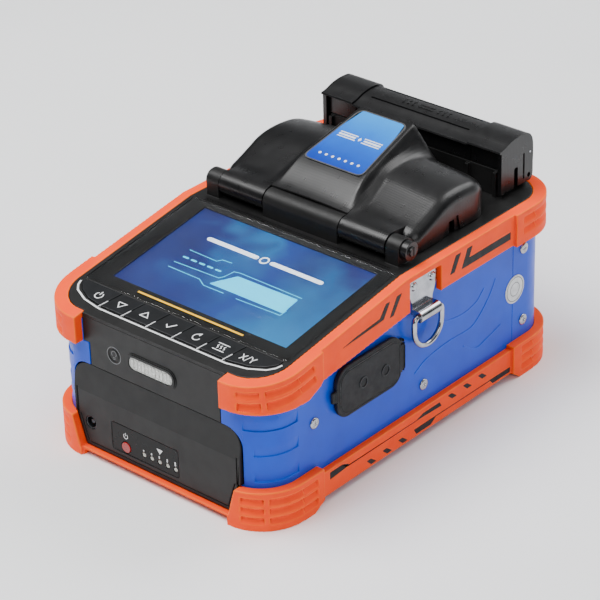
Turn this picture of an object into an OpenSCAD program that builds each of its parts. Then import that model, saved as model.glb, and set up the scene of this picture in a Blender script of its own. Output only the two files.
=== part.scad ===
// Fiber fusion splicer, in millimetres.
// X runs to the right, Y to the back, Z up. The underside rests on z = 0.
// The screen faces the front, -Y.

/* [Body] */
// Half width over the bumper corner blocks
half_w = 72.8; // [70:0.1:76]
// Half length over the bumper corner blocks
half_l = 112.4; // [108:0.1:118]
// Height of the flat rear deck
deck_z = 92.1; // [88:0.1:96]
// Tilt of the screen section in degrees
screen_tilt = 8.8; // [5:0.1:12]
// Thickness of the painted metal body
sheet = 1.6; // [1:0.1:3]
// Thickness of the moulded plastic walls
skin = 2.2; // [1.5:0.1:3]

/* [Bumpers] */
// How far the corner blocks stand out from the bands between them
block_step = 1.6; // [1:0.1:3]
// How far the blue body is set back from the corner blocks
body_inset = 5; // [4:0.1:6]
// Height of a rib groove
groove = 3.8; // [2:0.1:5]
// Depth of a rib groove
groove_depth = 1.4; // [0.5:0.1:2]
// Angle taken by the upright rib at the corner of a block
rib_angle = 6; // [2:0.5:12]

/* [Screen] */
// Width of the visible picture, five inches on the diagonal
picture_w = 108; // [90:0.1:120]
// Height of the visible picture
picture_h = 64.8; // [50:0.1:70]
// Sideways offset of the picture
picture_x = 0.9; // [-2:0.1:2]
// Travel of a key
key_travel = 0.4; // [0.2:0.05:0.8]

/* [Wind cover] */
// Hinge axis, along Y
cover_axis_y = 1.9; // [-2:0.1:6]
// Hinge axis, height
cover_axis_z = 99.2; // [97:0.1:102]
// Radius of the hinge barrel
barrel_r = 6; // [5:0.1:7]
// Half width of the cover
cover_half_w = 60; // [55:0.1:62]
// Wall of the cover
cover_wall = 2.5; // [2:0.1:3.5]

/* [Heater] */
// Half width of the heater lid
heater_half_w = 56.6; // [50:0.1:60]
// Heater hinge axis, along Y
heater_axis_y = 102.5; // [100:0.1:104]
// Heater hinge axis, height
heater_axis_z = 97.2; // [96:0.1:100]

/* [Battery] */
// Half width of the battery front
battery_half_w = 52.8; // [48:0.1:54]
// Height of the top of the battery front
battery_top = 49.6; // [45:0.1:52]
// Length of the battery case behind its front
battery_len = 76; // [60:0.5:80]

/* [Test ports] */
// Middle of the port cover, along Y
port_y = -37.5; // [-45:0.1:-30]
// Middle of the port cover, height
port_z = 52.3; // [45:0.1:60]
// Distance between the two adapters
adapter_pitch = 13.7; // [12:0.1:16]
// Radius of the hole for a 2.5 mm ferrule
ferrule_r = 1.26; // [1.25:0.01:1.3]

/* [Strap rings] */
// Middle of a strap bracket, along Y
strap_y = 3.5; // [0:0.1:8]
// Height of the strap ring's bar
strap_z = 69.5; // [65:0.1:75]
// Radius of the ring wire
wire_r = 1.4; // [1:0.1:2]

/* [Hidden] */
$fn = 72;

body_half_w = half_w - body_inset;
body_half_l = half_l - body_inset;
block_r = 25;
body_r = block_r - body_inset;
front_y = -body_half_l;
screen_front_z = 77;
bend_y = front_y + (deck_z - screen_front_z) / tan(screen_tilt);
lip = 3;
ring_half_w = body_half_w - 1.8;
ring_half_l = body_half_l - 1.8;
ring_r = body_r - 1.8;
seam_y = 75.5;
panel_half_w = 45;
gap = 0.2;
running = 0.05;
far = 300;
battery_front_y = front_y - 1;
fiber_y = 38;
fiber_z = 97;
blue = [0.1, 0.39, 0.84];
orange = [1, 0.45, 0.15];
black = [0.12, 0.12, 0.13];
steel = [0.75, 0.76, 0.78];
board_green = [0.1, 0.35, 0.2];

// ---- shared outlines and placements ----

// Rounded rectangle centred on the origin
module rounded(half_x, half_y, r) {
  square([2 * half_x, 2 * (half_y - r)], center = true);
  square([2 * (half_x - r), 2 * half_y], center = true);
  for (sx = [-1, 1], sy = [-1, 1])
    translate([sx * (half_x - r), sy * (half_y - r)])
      circle(r);
}

// Plan outline of the body, moved outward by a distance
module body_plan(out = 0) {
  rounded(body_half_w + out, body_half_l + out, body_r + out);
}

// A side view outline, drawn as (y, z), given a width along X
module across(half) {
  rotate([90, 0, 90])
    linear_extrude(2 * half, center = true)
      children();
}

// A side view outline given a stretch from x0 to x1
module across_from(x0, x1) {
  translate([x0, 0, 0])
    rotate([90, 0, 90])
      linear_extrude(x1 - x0)
        children();
}

// A front view outline, drawn as (x, z), given a stretch from y0 to y1
module along(y0, y1) {
  translate([0, y1, 0])
    rotate([90, 0, 0])
      linear_extrude(y1 - y0)
        children();
}

// A rod along X between two positions
module rod_x(r, x0, x1) {
  translate([x0, 0, 0])
    rotate([0, 90, 0])
      cylinder(r = r, h = x1 - x0);
}

// A rod along Y between two positions
module rod_y(r, y0, y1) {
  translate([0, y0, 0])
    rotate([-90, 0, 0])
      cylinder(r = r, h = y1 - y0);
}

module both_sides() {
  children();
  mirror([1, 0, 0])
    children();
}

// Places parts on the tilted screen: Y runs up the slope from the front edge, Z stands out of it
module on_screen() {
  translate([0, front_y, screen_front_z])
    rotate([screen_tilt, 0, 0])
      children();
}

// Side view of everything below the top surface, lowered by a distance
module under_top(drop = 0) {
  polygon([
    [-far, -far],
    [-far, screen_front_z - drop + (-far - front_y) * tan(screen_tilt)],
    [bend_y, deck_z - drop],
    [far, deck_z - drop],
    [far, -far]
  ]);
}

// ---- body ----

// Front opening of the blue body: battery below, black panel above
module front_opening(grow = 0) {
  low = 21.2;
  shoulder = 9;
  narrow = 41;
  step_z = 62;
  deep = 60;
  polygon([
    [-46.8 - grow, 5 - grow],
    [46.8 + grow, 5 - grow],
    [51.4 + grow, low],
    [51.4 + grow, low + 1],
    [-51.4 - grow, low + 1],
    [-51.4 - grow, low]
  ]);
  difference() {
    translate([0, battery_top + grow - deep])
      rounded(battery_half_w + grow, deep, shoulder);
    translate([-far, low - far])
      square([2 * far, far]);
  }
  translate([-narrow - grow, low])
    square([2 * (narrow + grow), far]);
  translate([-panel_half_w, step_z])
    square([2 * panel_half_w, far]);
}

// Sweeps an outline round the front right corner of a rounded box, then back along its side.
// The outline is drawn as (outward, up) from the wall. Angles run from the front to the right.
module corner_sweep(half_x, half_y, r, from, to, straight = 0) {
  translate([half_x - r, r - half_y, 0]) {
    rotate([0, 0, from - 90])
      rotate_extrude(angle = to - from)
        translate([r, 0])
          children();
    if (straight > 0)
      translate([r, straight, 0])
        rotate([90, 0, 0])
          linear_extrude(straight)
            children();
  }
}

module shell_wall() {
  intersection() {
    translate([0, 0, 3.2])
      linear_extrude(far)
        difference() {
          body_plan();
          body_plan(-sheet);
        }
    across(far)
      under_top(lip + gap);
  }
}

// Heights of the pressed steps on each front corner, and the angle at which each begins
MARKS = [[50.5, 17], [37.2, 31], [23.5, 31]];

// Pressed steps: deep at the lower edge, running out at the upper edge
module corner_marks() {
  mark_h = 6;
  mark_depth = 0.7;
  // the slope is carried on past the surface, one millimetre out
  run = mark_h * (mark_depth + 1) / mark_depth;
  for (m = MARKS)
    translate([0, 0, m[0]])
      corner_sweep(body_half_w, body_half_l, body_r, m[1], 90, 2.4)
        polygon([[-mark_depth, 0], [1, 0], [1, run]]);
}

module side_shell() {
  color(blue)
    difference() {
      shell_wall();
      translate([-far, seam_y, 0])
        cube([2 * far, far, far]);
      along(-far, front_y + body_r - 2)
        front_opening(0.5);
      both_sides()
        corner_marks();
      port_cutout();
      screw_holes(1.6);
    }
}

module rear_shell() {
  vent_w = 2.2;
  vent_h = 22;
  color(blue)
    difference() {
      shell_wall();
      translate([-far, seam_y - 2 * far + gap, 0])
        cube([2 * far, 2 * far, far]);
      screw_holes(1.6);
      for (x = [-30:6:30])
        translate([x - vent_w / 2, body_half_l - 5, 30])
          cube([vent_w, 10, vent_h]);
    }
}

module bottom_plate() {
  plate_z = 3.2;
  plate_t = 2;
  color(black)
    difference() {
      translate([0, 0, plate_z])
        linear_extrude(plate_t - 0.4)
          body_plan(-sheet - gap);
      for (x = [-36:8:36], y = [40, 52, 64])
        translate([x, y, 0])
          cylinder(r = 1.6, h = 10, $fn = 24);
    }
}

// Side screw positions: along Y, then height
SCREWS = [[-74, 44.1], [5.3, 27.3], [84, 67.9], [84, 27.8]];

module screw_holes(r) {
  both_sides()
    for (s = SCREWS)
      translate([body_half_w, s[0], s[1]])
        rod_x(r, -5, 5);
}

module side_screws() {
  head_r = 2.9;
  head_h = 1.1;
  color(steel)
    both_sides()
      for (s = SCREWS)
        translate([body_half_w, s[0], s[1]])
          difference() {
            union() {
              rod_x(head_r, 0.02, head_h);
              rod_x(1.5, -6, 0.5);
            }
            for (a = [0, 90])
              translate([head_h, 0, 0])
                rotate([a, 0, 0])
                  cube([1.2, 3.4, 0.7], center = true);
          }
}

module seal_sticker() {
  color(steel)
    translate([body_half_w, 77.2, 47.8])
      rod_x(7.5, 0.02, 0.3);
}

// ---- bumpers ----

// Plan of a bumper: bands all round, with corner blocks that stand further out
module bumper_plan(front_end, rear_end, inner_x) {
  rounded(half_w - block_step, half_l - block_step, block_r - block_step);
  intersection() {
    rounded(half_w, half_l, block_r);
    for (sx = [-1, 1]) {
      translate([sx > 0 ? inner_x : -far, -far])
        square([far - inner_x, far + front_end]);
      translate([sx > 0 ? inner_x : -far, rear_end])
        square([far - inner_x, far]);
    }
  }
}

// One rib groove of the front right block, in two stretches with an upright rib between them.
// Its floor slopes out toward the lower edge, and goes on past the surface by a distance.
module block_groove(out = 0.4) {
  split = 45;
  first = 16;
  last = 10;
  run = groove * (0.4 + 0.6 * (groove_depth + out) / groove_depth);
  for (stretch = [[first, split - rib_angle / 2, 0], [split + rib_angle / 2, 90, last]])
    corner_sweep(half_w, half_l, block_r, stretch[0], stretch[1], stretch[2])
      polygon([[-groove_depth, 0], [-groove_depth, -0.4 * groove], [out, -run], [out, 0]]);
}

module upper_bumper_solid() {
  front_end = -72;
  rear_end = 72;
  band_low = 75.5;
  difference() {
    intersection() {
      linear_extrude(far)
        bumper_plan(front_end, rear_end, panel_half_w);
      across(far)
        intersection() {
          under_top();
          polygon([
            [-far, 62], [-82, 62], [-74, 65.6], [front_end, 68], [front_end, 65.9],
            [-6.5, 73.8], [20, band_low], [rear_end, band_low], [rear_end, 74.5], [far, 74.5], [far, far],
            [-far, far]
          ]);
        }
    }
    linear_extrude(far)
      rounded(ring_half_w, ring_half_l, ring_r);
    intersection() {
      linear_extrude(far)
        body_plan(0.1);
      across(far)
        under_top(lip);
    }
    translate([-panel_half_w, -far, 0])
      cube([2 * panel_half_w, far - 80, far]);
    both_sides()
      translate([body_half_w, strap_y - 11.6, 50])
        cube([far, 23.2, 38.9]);
  }
}

module upper_bumper() {
  wall_lean = 1.1;
  color(orange)
    difference() {
      upper_bumper_solid();
      for (drop = [3.2, 8.8])
        both_sides() {
          // seen from the tilted plane, the upright front wall leans outward
          on_screen()
            translate([0, body_half_l - wall_lean, -drop])
              block_groove(0.8);
          translate([0, 0, deck_z - drop])
            mirror([0, 1, 0])
              block_groove();
        }
      inlay_cut(1) upper_inlay_marks();
    }
}

module lower_bumper_solid() {
  front_end = -73;
  rear_end = 71;
  band_low = 4;
  band_top = 17.2;
  lip_in = 5;
  front_strip = 3;
  difference() {
    intersection() {
      linear_extrude(far)
        bumper_plan(front_end, rear_end, 47);
      across(far)
        polygon([
          [-far, 0], [-80, 0], [front_end, band_low], [rear_end, band_low], [rear_end + 5, 0], [far, 0],
          [far, 18.9], [rear_end, 18.9], [rear_end, band_top], [front_end, band_top], [front_end, 20.7],
          [-far, 20.7]
        ]);
    }
    translate([0, 0, 3.1])
      linear_extrude(far)
        body_plan(0.1);
    linear_extrude(far)
      body_plan(-lip_in);
    along(-far, -80)
      front_opening(0.5);
    // only a thin strip runs under the battery
    translate([-46.3, -far, -1])
      cube([92.6, far - 80, front_strip + 1]);
  }
}

module lower_bumper() {
  color(orange)
    difference() {
      lower_bumper_solid();
      for (z = [17.4, 12.4, 7.4])
        both_sides() {
          translate([0, 0, z])
            block_groove();
          translate([0, 0, z - 0.4])
            mirror([0, 1, 0])
              block_groove();
        }
      inlay_cut(1) lower_inlay_marks();
    }
}

// Black stripes on both bumper bands, as side view outlines
module upper_inlay_marks() {
  polygon([[-61.7, 76.1], [-46.1, 78.6], [-30.4, 80.2], [-26, 86.1], [-22.7, 86.1], [-27.5, 78.4]]);
  polygon([[-23.5, 77.2], [-20.3, 77.4], [-14, 86.9], [-18, 86.6]]);
  polygon([[21.5, 80.4], [25.3, 80.6], [30.2, 89.4], [26, 89.4]]);
  polygon([[30.3, 79.8], [69, 79.8], [69, 84], [36.6, 84], [39, 89.4], [34.8, 89.4]]);
}

module lower_inlay_marks() {
  line_w = 0.7;
  upper_row = 11.8;
  lower_row = 5.1;
  // front bar with a line running back to the middle bar
  polygon([[-67.6, 11.4], [-56.5, 12.2], [-53.5, 13.4], [-58.5, 15.3], [-67.6, 15.3]]);
  polygon([
    [-55, 12.2], [1.5, 12.2], [15.5, 11.6], [14, 14.4], [1.5, 14.4],
    [-3.5, 12.2 + line_w], [-55, 12.2 + line_w]
  ]);
  // lower bar with a line running back to the rear bar
  polygon([
    [-6, 8.4], [10, 8.4], [70.4, 7.6 + line_w / 2], [70, 5], [56, 5], [54, 7.6 - line_w / 2],
    [11, 7.6], [7, 5], [-4, 5]
  ]);
  for (i = [0:2]) {
    translate([-33.9 + 11.7 * i, lower_row])
      slanted_mark();
    translate([27.5 + 11.9 * i, upper_row])
      slanted_mark();
  }
}

// Small slanted mark, drawn from its lower right corner
module slanted_mark() {
  polygon([[0, 0], [-4, 3.2], [-7.6, 3.2], [-3.8, -0.2]]);
}

// Cuts or fills the stripe pockets on both sides
module inlay_cut(out) {
  band_x = half_w - block_step;
  both_sides()
    across_from(band_x - 0.6, band_x + out)
      children();
}

module bumper_inlays() {
  color(black) {
    inlay_cut(0) upper_inlay_marks();
    inlay_cut(0) lower_inlay_marks();
  }
}

// ---- black front panel and work lamp ----

// Window of the work lamp: left, right, low, high
LAMP = [-16, 12.8, 57.4, 65];

// Thickness of the moulded top where it covers the front panel
front_sheet = 1.4;

module front_panel() {
  color(black)
    difference() {
      intersection() {
        along(front_y + 0.2, front_y + 2.6)
          difference() {
            front_opening(0);
            translate([-far, -far])
              square([2 * far, far + battery_top + 0.5]);
          }
        across(far)
          under_top(front_sheet + 0.1);
      }
      translate([LAMP[0], front_y - 1, LAMP[2]])
        cube([LAMP[1] - LAMP[0], 10, LAMP[3] - LAMP[2]]);
      // lamp symbol: a round recess
      translate([-25.3, front_y - 1, 60.8])
        difference() {
          rod_y(3.6, 0, 1.6);
          rod_y(2.7, -1, 3);
        }
    }
}

module lamp_lens() {
  lens_gap = 0.15;
  color([0.9, 0.92, 0.95])
    translate([LAMP[0] + lens_gap, front_y - 0.1, LAMP[2] + lens_gap])
      cube([LAMP[1] - LAMP[0] - 2 * lens_gap, 2, LAMP[3] - LAMP[2] - 2 * lens_gap]);
}

module lamp_board() {
  mid_z = (LAMP[2] + LAMP[3]) / 2;
  color(board_green) {
    translate([LAMP[0] - 2, front_y + 3.4, LAMP[2] - 1.5])
      cube([LAMP[1] - LAMP[0] + 4, 1.2, LAMP[3] - LAMP[2] + 3]);
    for (x = [-10:4.4:8])
      translate([x - 1.2, front_y + 2.6, mid_z - 1.2])
        cube([2.4, 0.9, 2.4]);
  }
}

// ---- moulded top ----

WELL = [52, 14, 64, 82];

// Plan of the moulded top: fills the bumper ring and comes forward between the front blocks
module top_plan(out = 0) {
  rounded(ring_half_w - gap + out, ring_half_l - gap + out, ring_r - gap + out);
  translate([-panel_half_w + gap - out, front_y + 0.2 - out])
    square([2 * (panel_half_w - gap + out), 60]);
}

// Outline of the key row on the screen plane
module key_field(inset = 0) {
  polygon([
    [-40, 8 + inset], [40, 8 + inset], [50.5, 9.8 + inset], [58.2 - inset, 13.8], [62 - inset, 17.8],
    [62 - inset, 20.8 - inset], [-62 + inset, 20.8 - inset], [-62 + inset, 17.8], [-58.2 + inset, 13.8],
    [-50.5, 9.8 + inset]
  ]);
}

glass_low = 22;
glass_high = 99;
glass_half_w = 63.6;

module top_skin() {
  skirt = 7;
  difference() {
    intersection() {
      linear_extrude(far)
        top_plan();
      across(far)
        difference() {
          under_top();
          under_top(skirt);
        }
    }
    intersection() {
      linear_extrude(far)
        top_plan(-2);
      across(far)
        under_top(skin);
    }
    // no skirt in front of the front panel
    intersection() {
      translate([-panel_half_w - 0.2, -far, 0])
        cube([2 * panel_half_w + 0.4, far + front_y + 2.8, far]);
      across(far)
        under_top(front_sheet);
    }
  }
}

module chamber_well() {
  wall = 2;
  difference() {
    translate([-WELL[0] - wall, WELL[1] - wall, WELL[3] - wall])
      cube([2 * (WELL[0] + wall), WELL[2] - WELL[1] + 2 * wall, deck_z - WELL[3]]);
    translate([-WELL[0], WELL[1], WELL[3]])
      cube([2 * WELL[0], WELL[2] - WELL[1], far]);
    translate([-46, WELL[1] + 6, 0])
      cube([92, WELL[2] - WELL[1] - 12, far]);
    // room for the slanted lens barrels
    translate([-7, WELL[1] + 0.5, 0])
      cube([14, WELL[2] - WELL[1] - 1, far]);
  }
}

// Middle barrel and end ears that carry the wind cover
module hinge_supports() {
  middle = 23.4;
  ear_in = 52.6;
  ear_out = 60.4;
  ear_r = 5.6;
  difference() {
    union() {
      across(middle) {
        translate([cover_axis_y, cover_axis_z])
          circle(barrel_r);
        translate([cover_axis_y - barrel_r, deck_z - 1])
          square([2 * barrel_r, cover_axis_z - deck_z + 1]);
      }
      both_sides()
        across_from(ear_in, ear_out) {
          translate([cover_axis_y, cover_axis_z])
            circle(ear_r);
          translate([cover_axis_y - ear_r, deck_z - 1])
            square([2 * ear_r, cover_axis_z - deck_z + 1]);
        }
    }
    translate([0, cover_axis_y, cover_axis_z])
      rod_x(1.5, -far, far);
  }
}

module top_cover() {
  color(black) {
    difference() {
      union() {
        top_skin();
        chamber_well();
      }
      translate([-WELL[0], WELL[1], WELL[3]])
        cube([2 * WELL[0], WELL[2] - WELL[1], far]);
      on_screen() {
        translate([-glass_half_w, glass_low, -1.2])
          cube([2 * glass_half_w, glass_high - glass_low, 10]);
        translate([picture_x - picture_w / 2 - 0.4, 30.1, -10])
          cube([picture_w + 0.8, picture_h + 0.8, 20]);
        translate([0, 0, -10])
          linear_extrude(20)
            key_field();
      }
    }
    hinge_supports();
  }
}

module screen_glass() {
  edge = 0.15;
  color([0.05, 0.06, 0.08, 0.5])
    on_screen()
      translate([-glass_half_w + edge, glass_low + edge, -1.2])
        cube([2 * (glass_half_w - edge), glass_high - glass_low - 2 * edge, 1.1]);
}

module lcd_panel() {
  module_w = 120.6;
  color([0.15, 0.3, 0.6])
    on_screen()
      translate([picture_x - module_w / 2, 24.6, -5.4])
        cube([module_w, 73.6, 3.1]);
}

// Board with a snap dome under each key, one key stroke below the stem
module keypad_board() {
  dome_h = 0.25;
  color(board_green)
    on_screen() {
      translate([-60, 8.4, -5.2])
        cube([120, 14, 1.6]);
      for (x = KEY_X)
        translate([x, 14.5, -stem - key_travel - running - dome_h])
          cylinder(r = 2.5, h = dome_h);
    }
}

// ---- keys ----

// Middles of the seven keys and the slanted edges between them
KEY_X = [-46.8, -32.3, -16.9, -0.9, 15.6, 30.6, 46.8];
KEY_EDGE = [-80, -39.5, -24.6, -8.9, 7.3, 23.1, 38.7, 80];
// How far a key's stem reaches below the screen plane
stem = 3;

module key_cap(i) {
  slant = 0.25;
  half_gap = 0.3;
  left = KEY_EDGE[i] + half_gap;
  right = KEY_EDGE[i + 1] - half_gap;
  on_screen() {
    translate([0, 0, -1.5])
      linear_extrude(1.75)
        intersection() {
          key_field(0.35);
          polygon([
            [left - 6 * slant, 8], [right - 6 * slant, 8],
            [right + 7 * slant, 21], [left + 7 * slant, 21]
          ]);
        }
    translate([KEY_X[i], 14.5, -stem])
      cylinder(r = 1.8, h = stem - 1);
  }
}

module key_power() { color(black) key_cap(0); }
module key_down() { color(black) key_cap(1); }
module key_up() { color(black) key_cap(2); }
module key_confirm() { color(black) key_cap(3); }
module key_reset() { color(black) key_cap(4); }
module key_heat() { color(black) key_cap(5); }
module key_view() { color(black) key_cap(6); }

// ---- wind cover ----

cover_front = 8.3;
cover_rear = 70;
cover_low = 92.6;
// Front and rear ends of the sloping label plane, along Y and in height
LABEL_FRONT = [19.4, 116.4];
LABEL_REAR = [61.5, 127.6];

// Plan of the cover, with tighter front corners and wide rear corners
module cover_plan(inset = 0) {
  front_r = 6 - inset;
  rear_r = 15 - inset;
  hx = cover_half_w - inset;
  y0 = cover_front + inset;
  y1 = cover_rear - inset;
  translate([-hx, y0 + front_r])
    square([2 * hx, y1 - rear_r - y0 - front_r]);
  both_sides() {
    translate([hx - front_r, y0 + front_r])
      circle(front_r);
    translate([hx - rear_r, y1 - rear_r])
      circle(rear_r);
  }
  translate([-hx + front_r, y0])
    square([2 * (hx - front_r), 20]);
  translate([-hx + rear_r, y1 - 20])
    square([2 * (hx - rear_r), 20]);
}

// Side view of the domed top
module dome_side() {
  polygon([
    [0, 60], [0, 106.4], [10, 106.8], [14, 107.6], [20, 110], [26, 112.6], [32, 115], [38, 116.3],
    [46, 116.6], [54, 115.9], [60, 114.4], [66, 111], [70, 106.5], [73, 100], [73, 60]
  ]);
}

// Front view of the domed top: a shallow arc with rounded shoulders
module dome_front() {
  arc_r = 450;
  arc_top = 117;
  edge_r = 5;
  edge_x = cover_half_w - edge_r;
  edge_z = arc_top - edge_x * edge_x / (2 * arc_r) - edge_r;
  base_z = 60;
  intersection() {
    translate([0, arc_top - arc_r])
      circle(arc_r, $fn = 360);
    translate([-edge_x, base_z])
      square([2 * edge_x, arc_top - base_z]);
  }
  translate([-cover_half_w, base_z])
    square([2 * cover_half_w, edge_z - base_z]);
  both_sides()
    translate([edge_x, edge_z])
      circle(edge_r);
}

// Raised ramp in the middle that carries the label
module ramp() {
  top_front = 20.8;
  top_rear = 16.8;
  taper = atan((top_front - top_rear) / 46);
  flare = 24;
  difference() {
    across(34)
      polygon([
        [12, 100], [13, 110.5], LABEL_FRONT, LABEL_REAR, [64.5, 126.6], [66.8, 119], [69.4, 112],
        [69.6, 100]
      ]);
    both_sides()
      translate([top_front, 17, 118])
        rotate([0, 0, taper])
          rotate([0, -flare, 0])
            translate([0, -60, -60])
              cube([60, 160, 120]);
  }
}

module cover_solid() {
  // each half slopes down toward its side
  side_fall = 3;
  ridge_z = 115;
  intersection() {
    linear_extrude(far)
      cover_plan();
    for_both_halves(side_fall, ridge_z)
      across(far)
        dome_side();
    along(-far, far)
      dome_front();
  }
  ramp();
}

// What is common to a shape tilted to the left and the same shape tilted to the right
module for_both_halves(angle, ridge_z) {
  intersection() {
    translate([0, 0, ridge_z])
      rotate([0, angle, 0])
        translate([0, 0, -ridge_z])
          children();
    translate([0, 0, ridge_z])
      rotate([0, -angle, 0])
        translate([0, 0, -ridge_z])
          children();
  }
}

// Lid barrels at both ends, with the sheet that joins them to the dome
module lid_barrels() {
  inner = 24;
  outer = 52;
  both_sides()
    across_from(inner, outer) {
      translate([cover_axis_y, cover_axis_z])
        circle(barrel_r);
      polygon([
        [cover_axis_y, cover_axis_z], [cover_axis_y, cover_axis_z + barrel_r], [10, 105], [14, 105],
        [14, 102], [cover_axis_y + 5, cover_axis_z - 2]
      ]);
    }
}

module wind_cover() {
  color(black)
    difference() {
      union() {
        difference() {
          cover_solid();
          intersection() {
            translate([0, 0, -cover_wall])
              cover_solid();
            linear_extrude(far)
              cover_plan(cover_wall);
          }
          translate([-far, -far, -far])
            cube([2 * far, 2 * far, far + cover_low]);
        }
        intersection() {
          lid_barrels();
          translate([-far, -far, cover_low])
            cube([2 * far, 2 * far, far]);
        }
      }
      translate([0, cover_axis_y, cover_axis_z])
        rod_x(1.5 + running, -far, far);
      // the fiber enters through a slot in a slanted recess on each side
      both_sides() {
        translate([cover_half_w - 8, fiber_y - 2, 0])
          cube([20, 4, fiber_z + 2]);
        across_from(cover_half_w - 0.8, cover_half_w + 5)
          polygon([[27.6, 90], [35.2, 100.7], [42, 100.7], [44, 90]]);
      }
      label_seat(1.2, 6);
    }
}

// The label pocket on the ramp, as a slab between two depths
module label_seat(depth, height, inset = 0) {
  rise = atan((LABEL_REAR[1] - LABEL_FRONT[1]) / (LABEL_REAR[0] - LABEL_FRONT[0]));
  length = (LABEL_REAR[0] - LABEL_FRONT[0]) / cos(rise);
  half_front = 18.4;
  half_rear = 14.8;
  corner_r = 4;
  translate([0, LABEL_FRONT[0], LABEL_FRONT[1]])
    rotate([rise, 0, 0])
      translate([0, 0, -depth])
        linear_extrude(height)
          intersection() {
            polygon([
              [-half_front + inset, 0.8 + inset], [half_front - inset, 0.8 + inset],
              [half_rear - inset, length - 1 - inset], [-half_rear + inset, length - 1 - inset]
            ]);
            translate([0, length / 2])
              rounded(half_front - inset, length / 2 - 0.8 - inset, corner_r);
          }
}

module wind_cover_label() {
  color([0.1, 0.5, 1])
    intersection() {
      label_seat(1.2, 1.3, 0.12);
      ramp();
    }
}

// Two pads that press the fibers into their grooves when the cover shuts
module cover_clamps() {
  color(steel)
    for (x = [-6, 6])
      translate([x, fiber_y, 0]) {
        translate([0, 0, fiber_z + 0.8])
          cylinder(r = 2.2, h = 3);
        translate([0, 0, fiber_z + 3.6])
          cylinder(r = 1.4, h = 15);
      }
}

module hinge_pin() {
  color(steel)
    translate([0, cover_axis_y, cover_axis_z])
      rod_x(1.5 - 0.01, -60.4, 60.4);
}

// Screwed cap at the right end, flat plug at the left end
module hinge_caps() {
  color(black)
    translate([0, cover_axis_y, cover_axis_z]) {
      difference() {
        union() {
          rod_x(4.8, 60.4, 64);
          rod_x(2.4, 63.8, 65.2);
        }
        translate([65.2, 0, 0])
          cube([1, 0.7, 5], center = true);
      }
      rod_x(4.8, -61.4, -60.4);
    }
}

// ---- heater ----

heater_front = 80;
heater_rear = 105.9;
heater_top = 120.9;
lid_front = 82.4;
lid_low = 106.6;
rear_low = 101.6;
clamp_in = 36.4;
cheek_x = 50.8;
cheek_w = 2;

module heater_base() {
  wall = 2.4;
  half = 53;
  floor_len = 20.4;
  wall_top = 106.1;
  color(black)
    difference() {
      union() {
        translate([-half, heater_front + 2, deck_z])
          cube([2 * half, floor_len, 5]);
        translate([-half, heater_front + 2, deck_z])
          cube([2 * half, wall, wall_top - deck_z]);
        // posts at the front
        for (x = [-half, -36, 34, half - 2])
          translate([x, heater_front + 0.3, deck_z])
            cube([2, 2, wall_top - deck_z - 0.8]);
      }
      // channel for the heating trough
      translate([-48, 86, deck_z + 2])
        cube([96, 12, far]);
      translate([0, heater_axis_y, heater_axis_z])
        rod_x(1.2, -far, far);
      // lid knuckles sweep here
      translate([-heater_half_w, 98.4, deck_z + 0.4])
        cube([2 * heater_half_w, 20, 20]);
    }
  // hinge cheeks near both ends, in slots of the clamps
  color(black)
    both_sides()
      difference() {
        across_from(cheek_x, cheek_x + cheek_w) {
          translate([heater_axis_y, heater_axis_z])
            circle(2.6);
          translate([heater_axis_y - 2.6, deck_z])
            square([5.2, heater_axis_z - deck_z]);
        }
        translate([0, heater_axis_y, heater_axis_z])
          rod_x(1.2, -far, far);
      }
}

module heater_plate() {
  low = deck_z + 2.1;
  height = 7;
  color(steel)
    difference() {
      translate([-47.6, 86.4, low])
        cube([95.2, 11.2, height]);
      translate([0, 92, low + height])
        rotate([45, 0, 0])
          cube([far, 8, 8], center = true);
    }
}

// Side view of the lid: rounded rear edge, top falling toward a short lip at the front
module lid_side(drop = 0) {
  round_r = 5;
  rear = heater_rear - drop;
  top = heater_top - drop;
  lip_y = 78.6;
  polygon([
    [lid_front, lid_low], [lid_front, top - 4.6], [lip_y, top - 4.2], [lip_y, top - 3], [81.5, top - 2.8],
    [84, top - 2.1], [86.5, top - 1.1], [89.5, top - 0.3], [93, top], [rear - round_r, top],
    [rear - round_r, lid_low]
  ]);
  translate([rear - 12, rear_low])
    square([12, top - round_r - rear_low]);
  translate([rear - round_r, top - round_r])
    circle(round_r);
}

// The hollow inside the lid
module lid_hollow(wall) {
  translate([lid_front + wall, 0])
    square([heater_rear - 2 * wall - lid_front, heater_top - wall - 2]);
}

// One stretch of the lid with hinge knuckles at its rear
module lid_stretch(x0, x1, drop) {
  wall = 2.2;
  knuckle_r = 3.2;
  difference() {
    union() {
      difference() {
        across_from(x0, x1)
          lid_side(drop);
        across_from(x0 + wall, x1 - wall)
          lid_hollow(wall);
      }
      across_from(x0, x1)
        difference() {
          union() {
            translate([heater_axis_y, heater_axis_z])
              circle(knuckle_r);
            translate([heater_axis_y, heater_axis_z])
              square([heater_rear - drop - heater_axis_y, rear_low - heater_axis_z + 1]);
          }
          square([heater_axis_y - 4, far]);
        }
    }
    translate([0, heater_axis_y, heater_axis_z])
      rod_x(1.2 + running, -far, far);
  }
}

module heater_lid() {
  fiber_slot = 8;
  color(black)
    difference() {
      lid_stretch(-clamp_in + 0.4, clamp_in - 0.4, 0.8);
      // the fiber leaves through a slot in each end wall
      translate([-clamp_in, 88, 0])
        cube([2 * clamp_in, fiber_slot, 110]);
      // shallow steps along the top
      translate([-clamp_in + 5, 88, heater_top - 2])
        cube([2 * clamp_in - 10, 1.2, 5]);
      translate([-clamp_in + 5, 97, heater_top - 1.6])
        cube([2 * clamp_in - 10, 4.2, 5]);
    }
}

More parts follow.
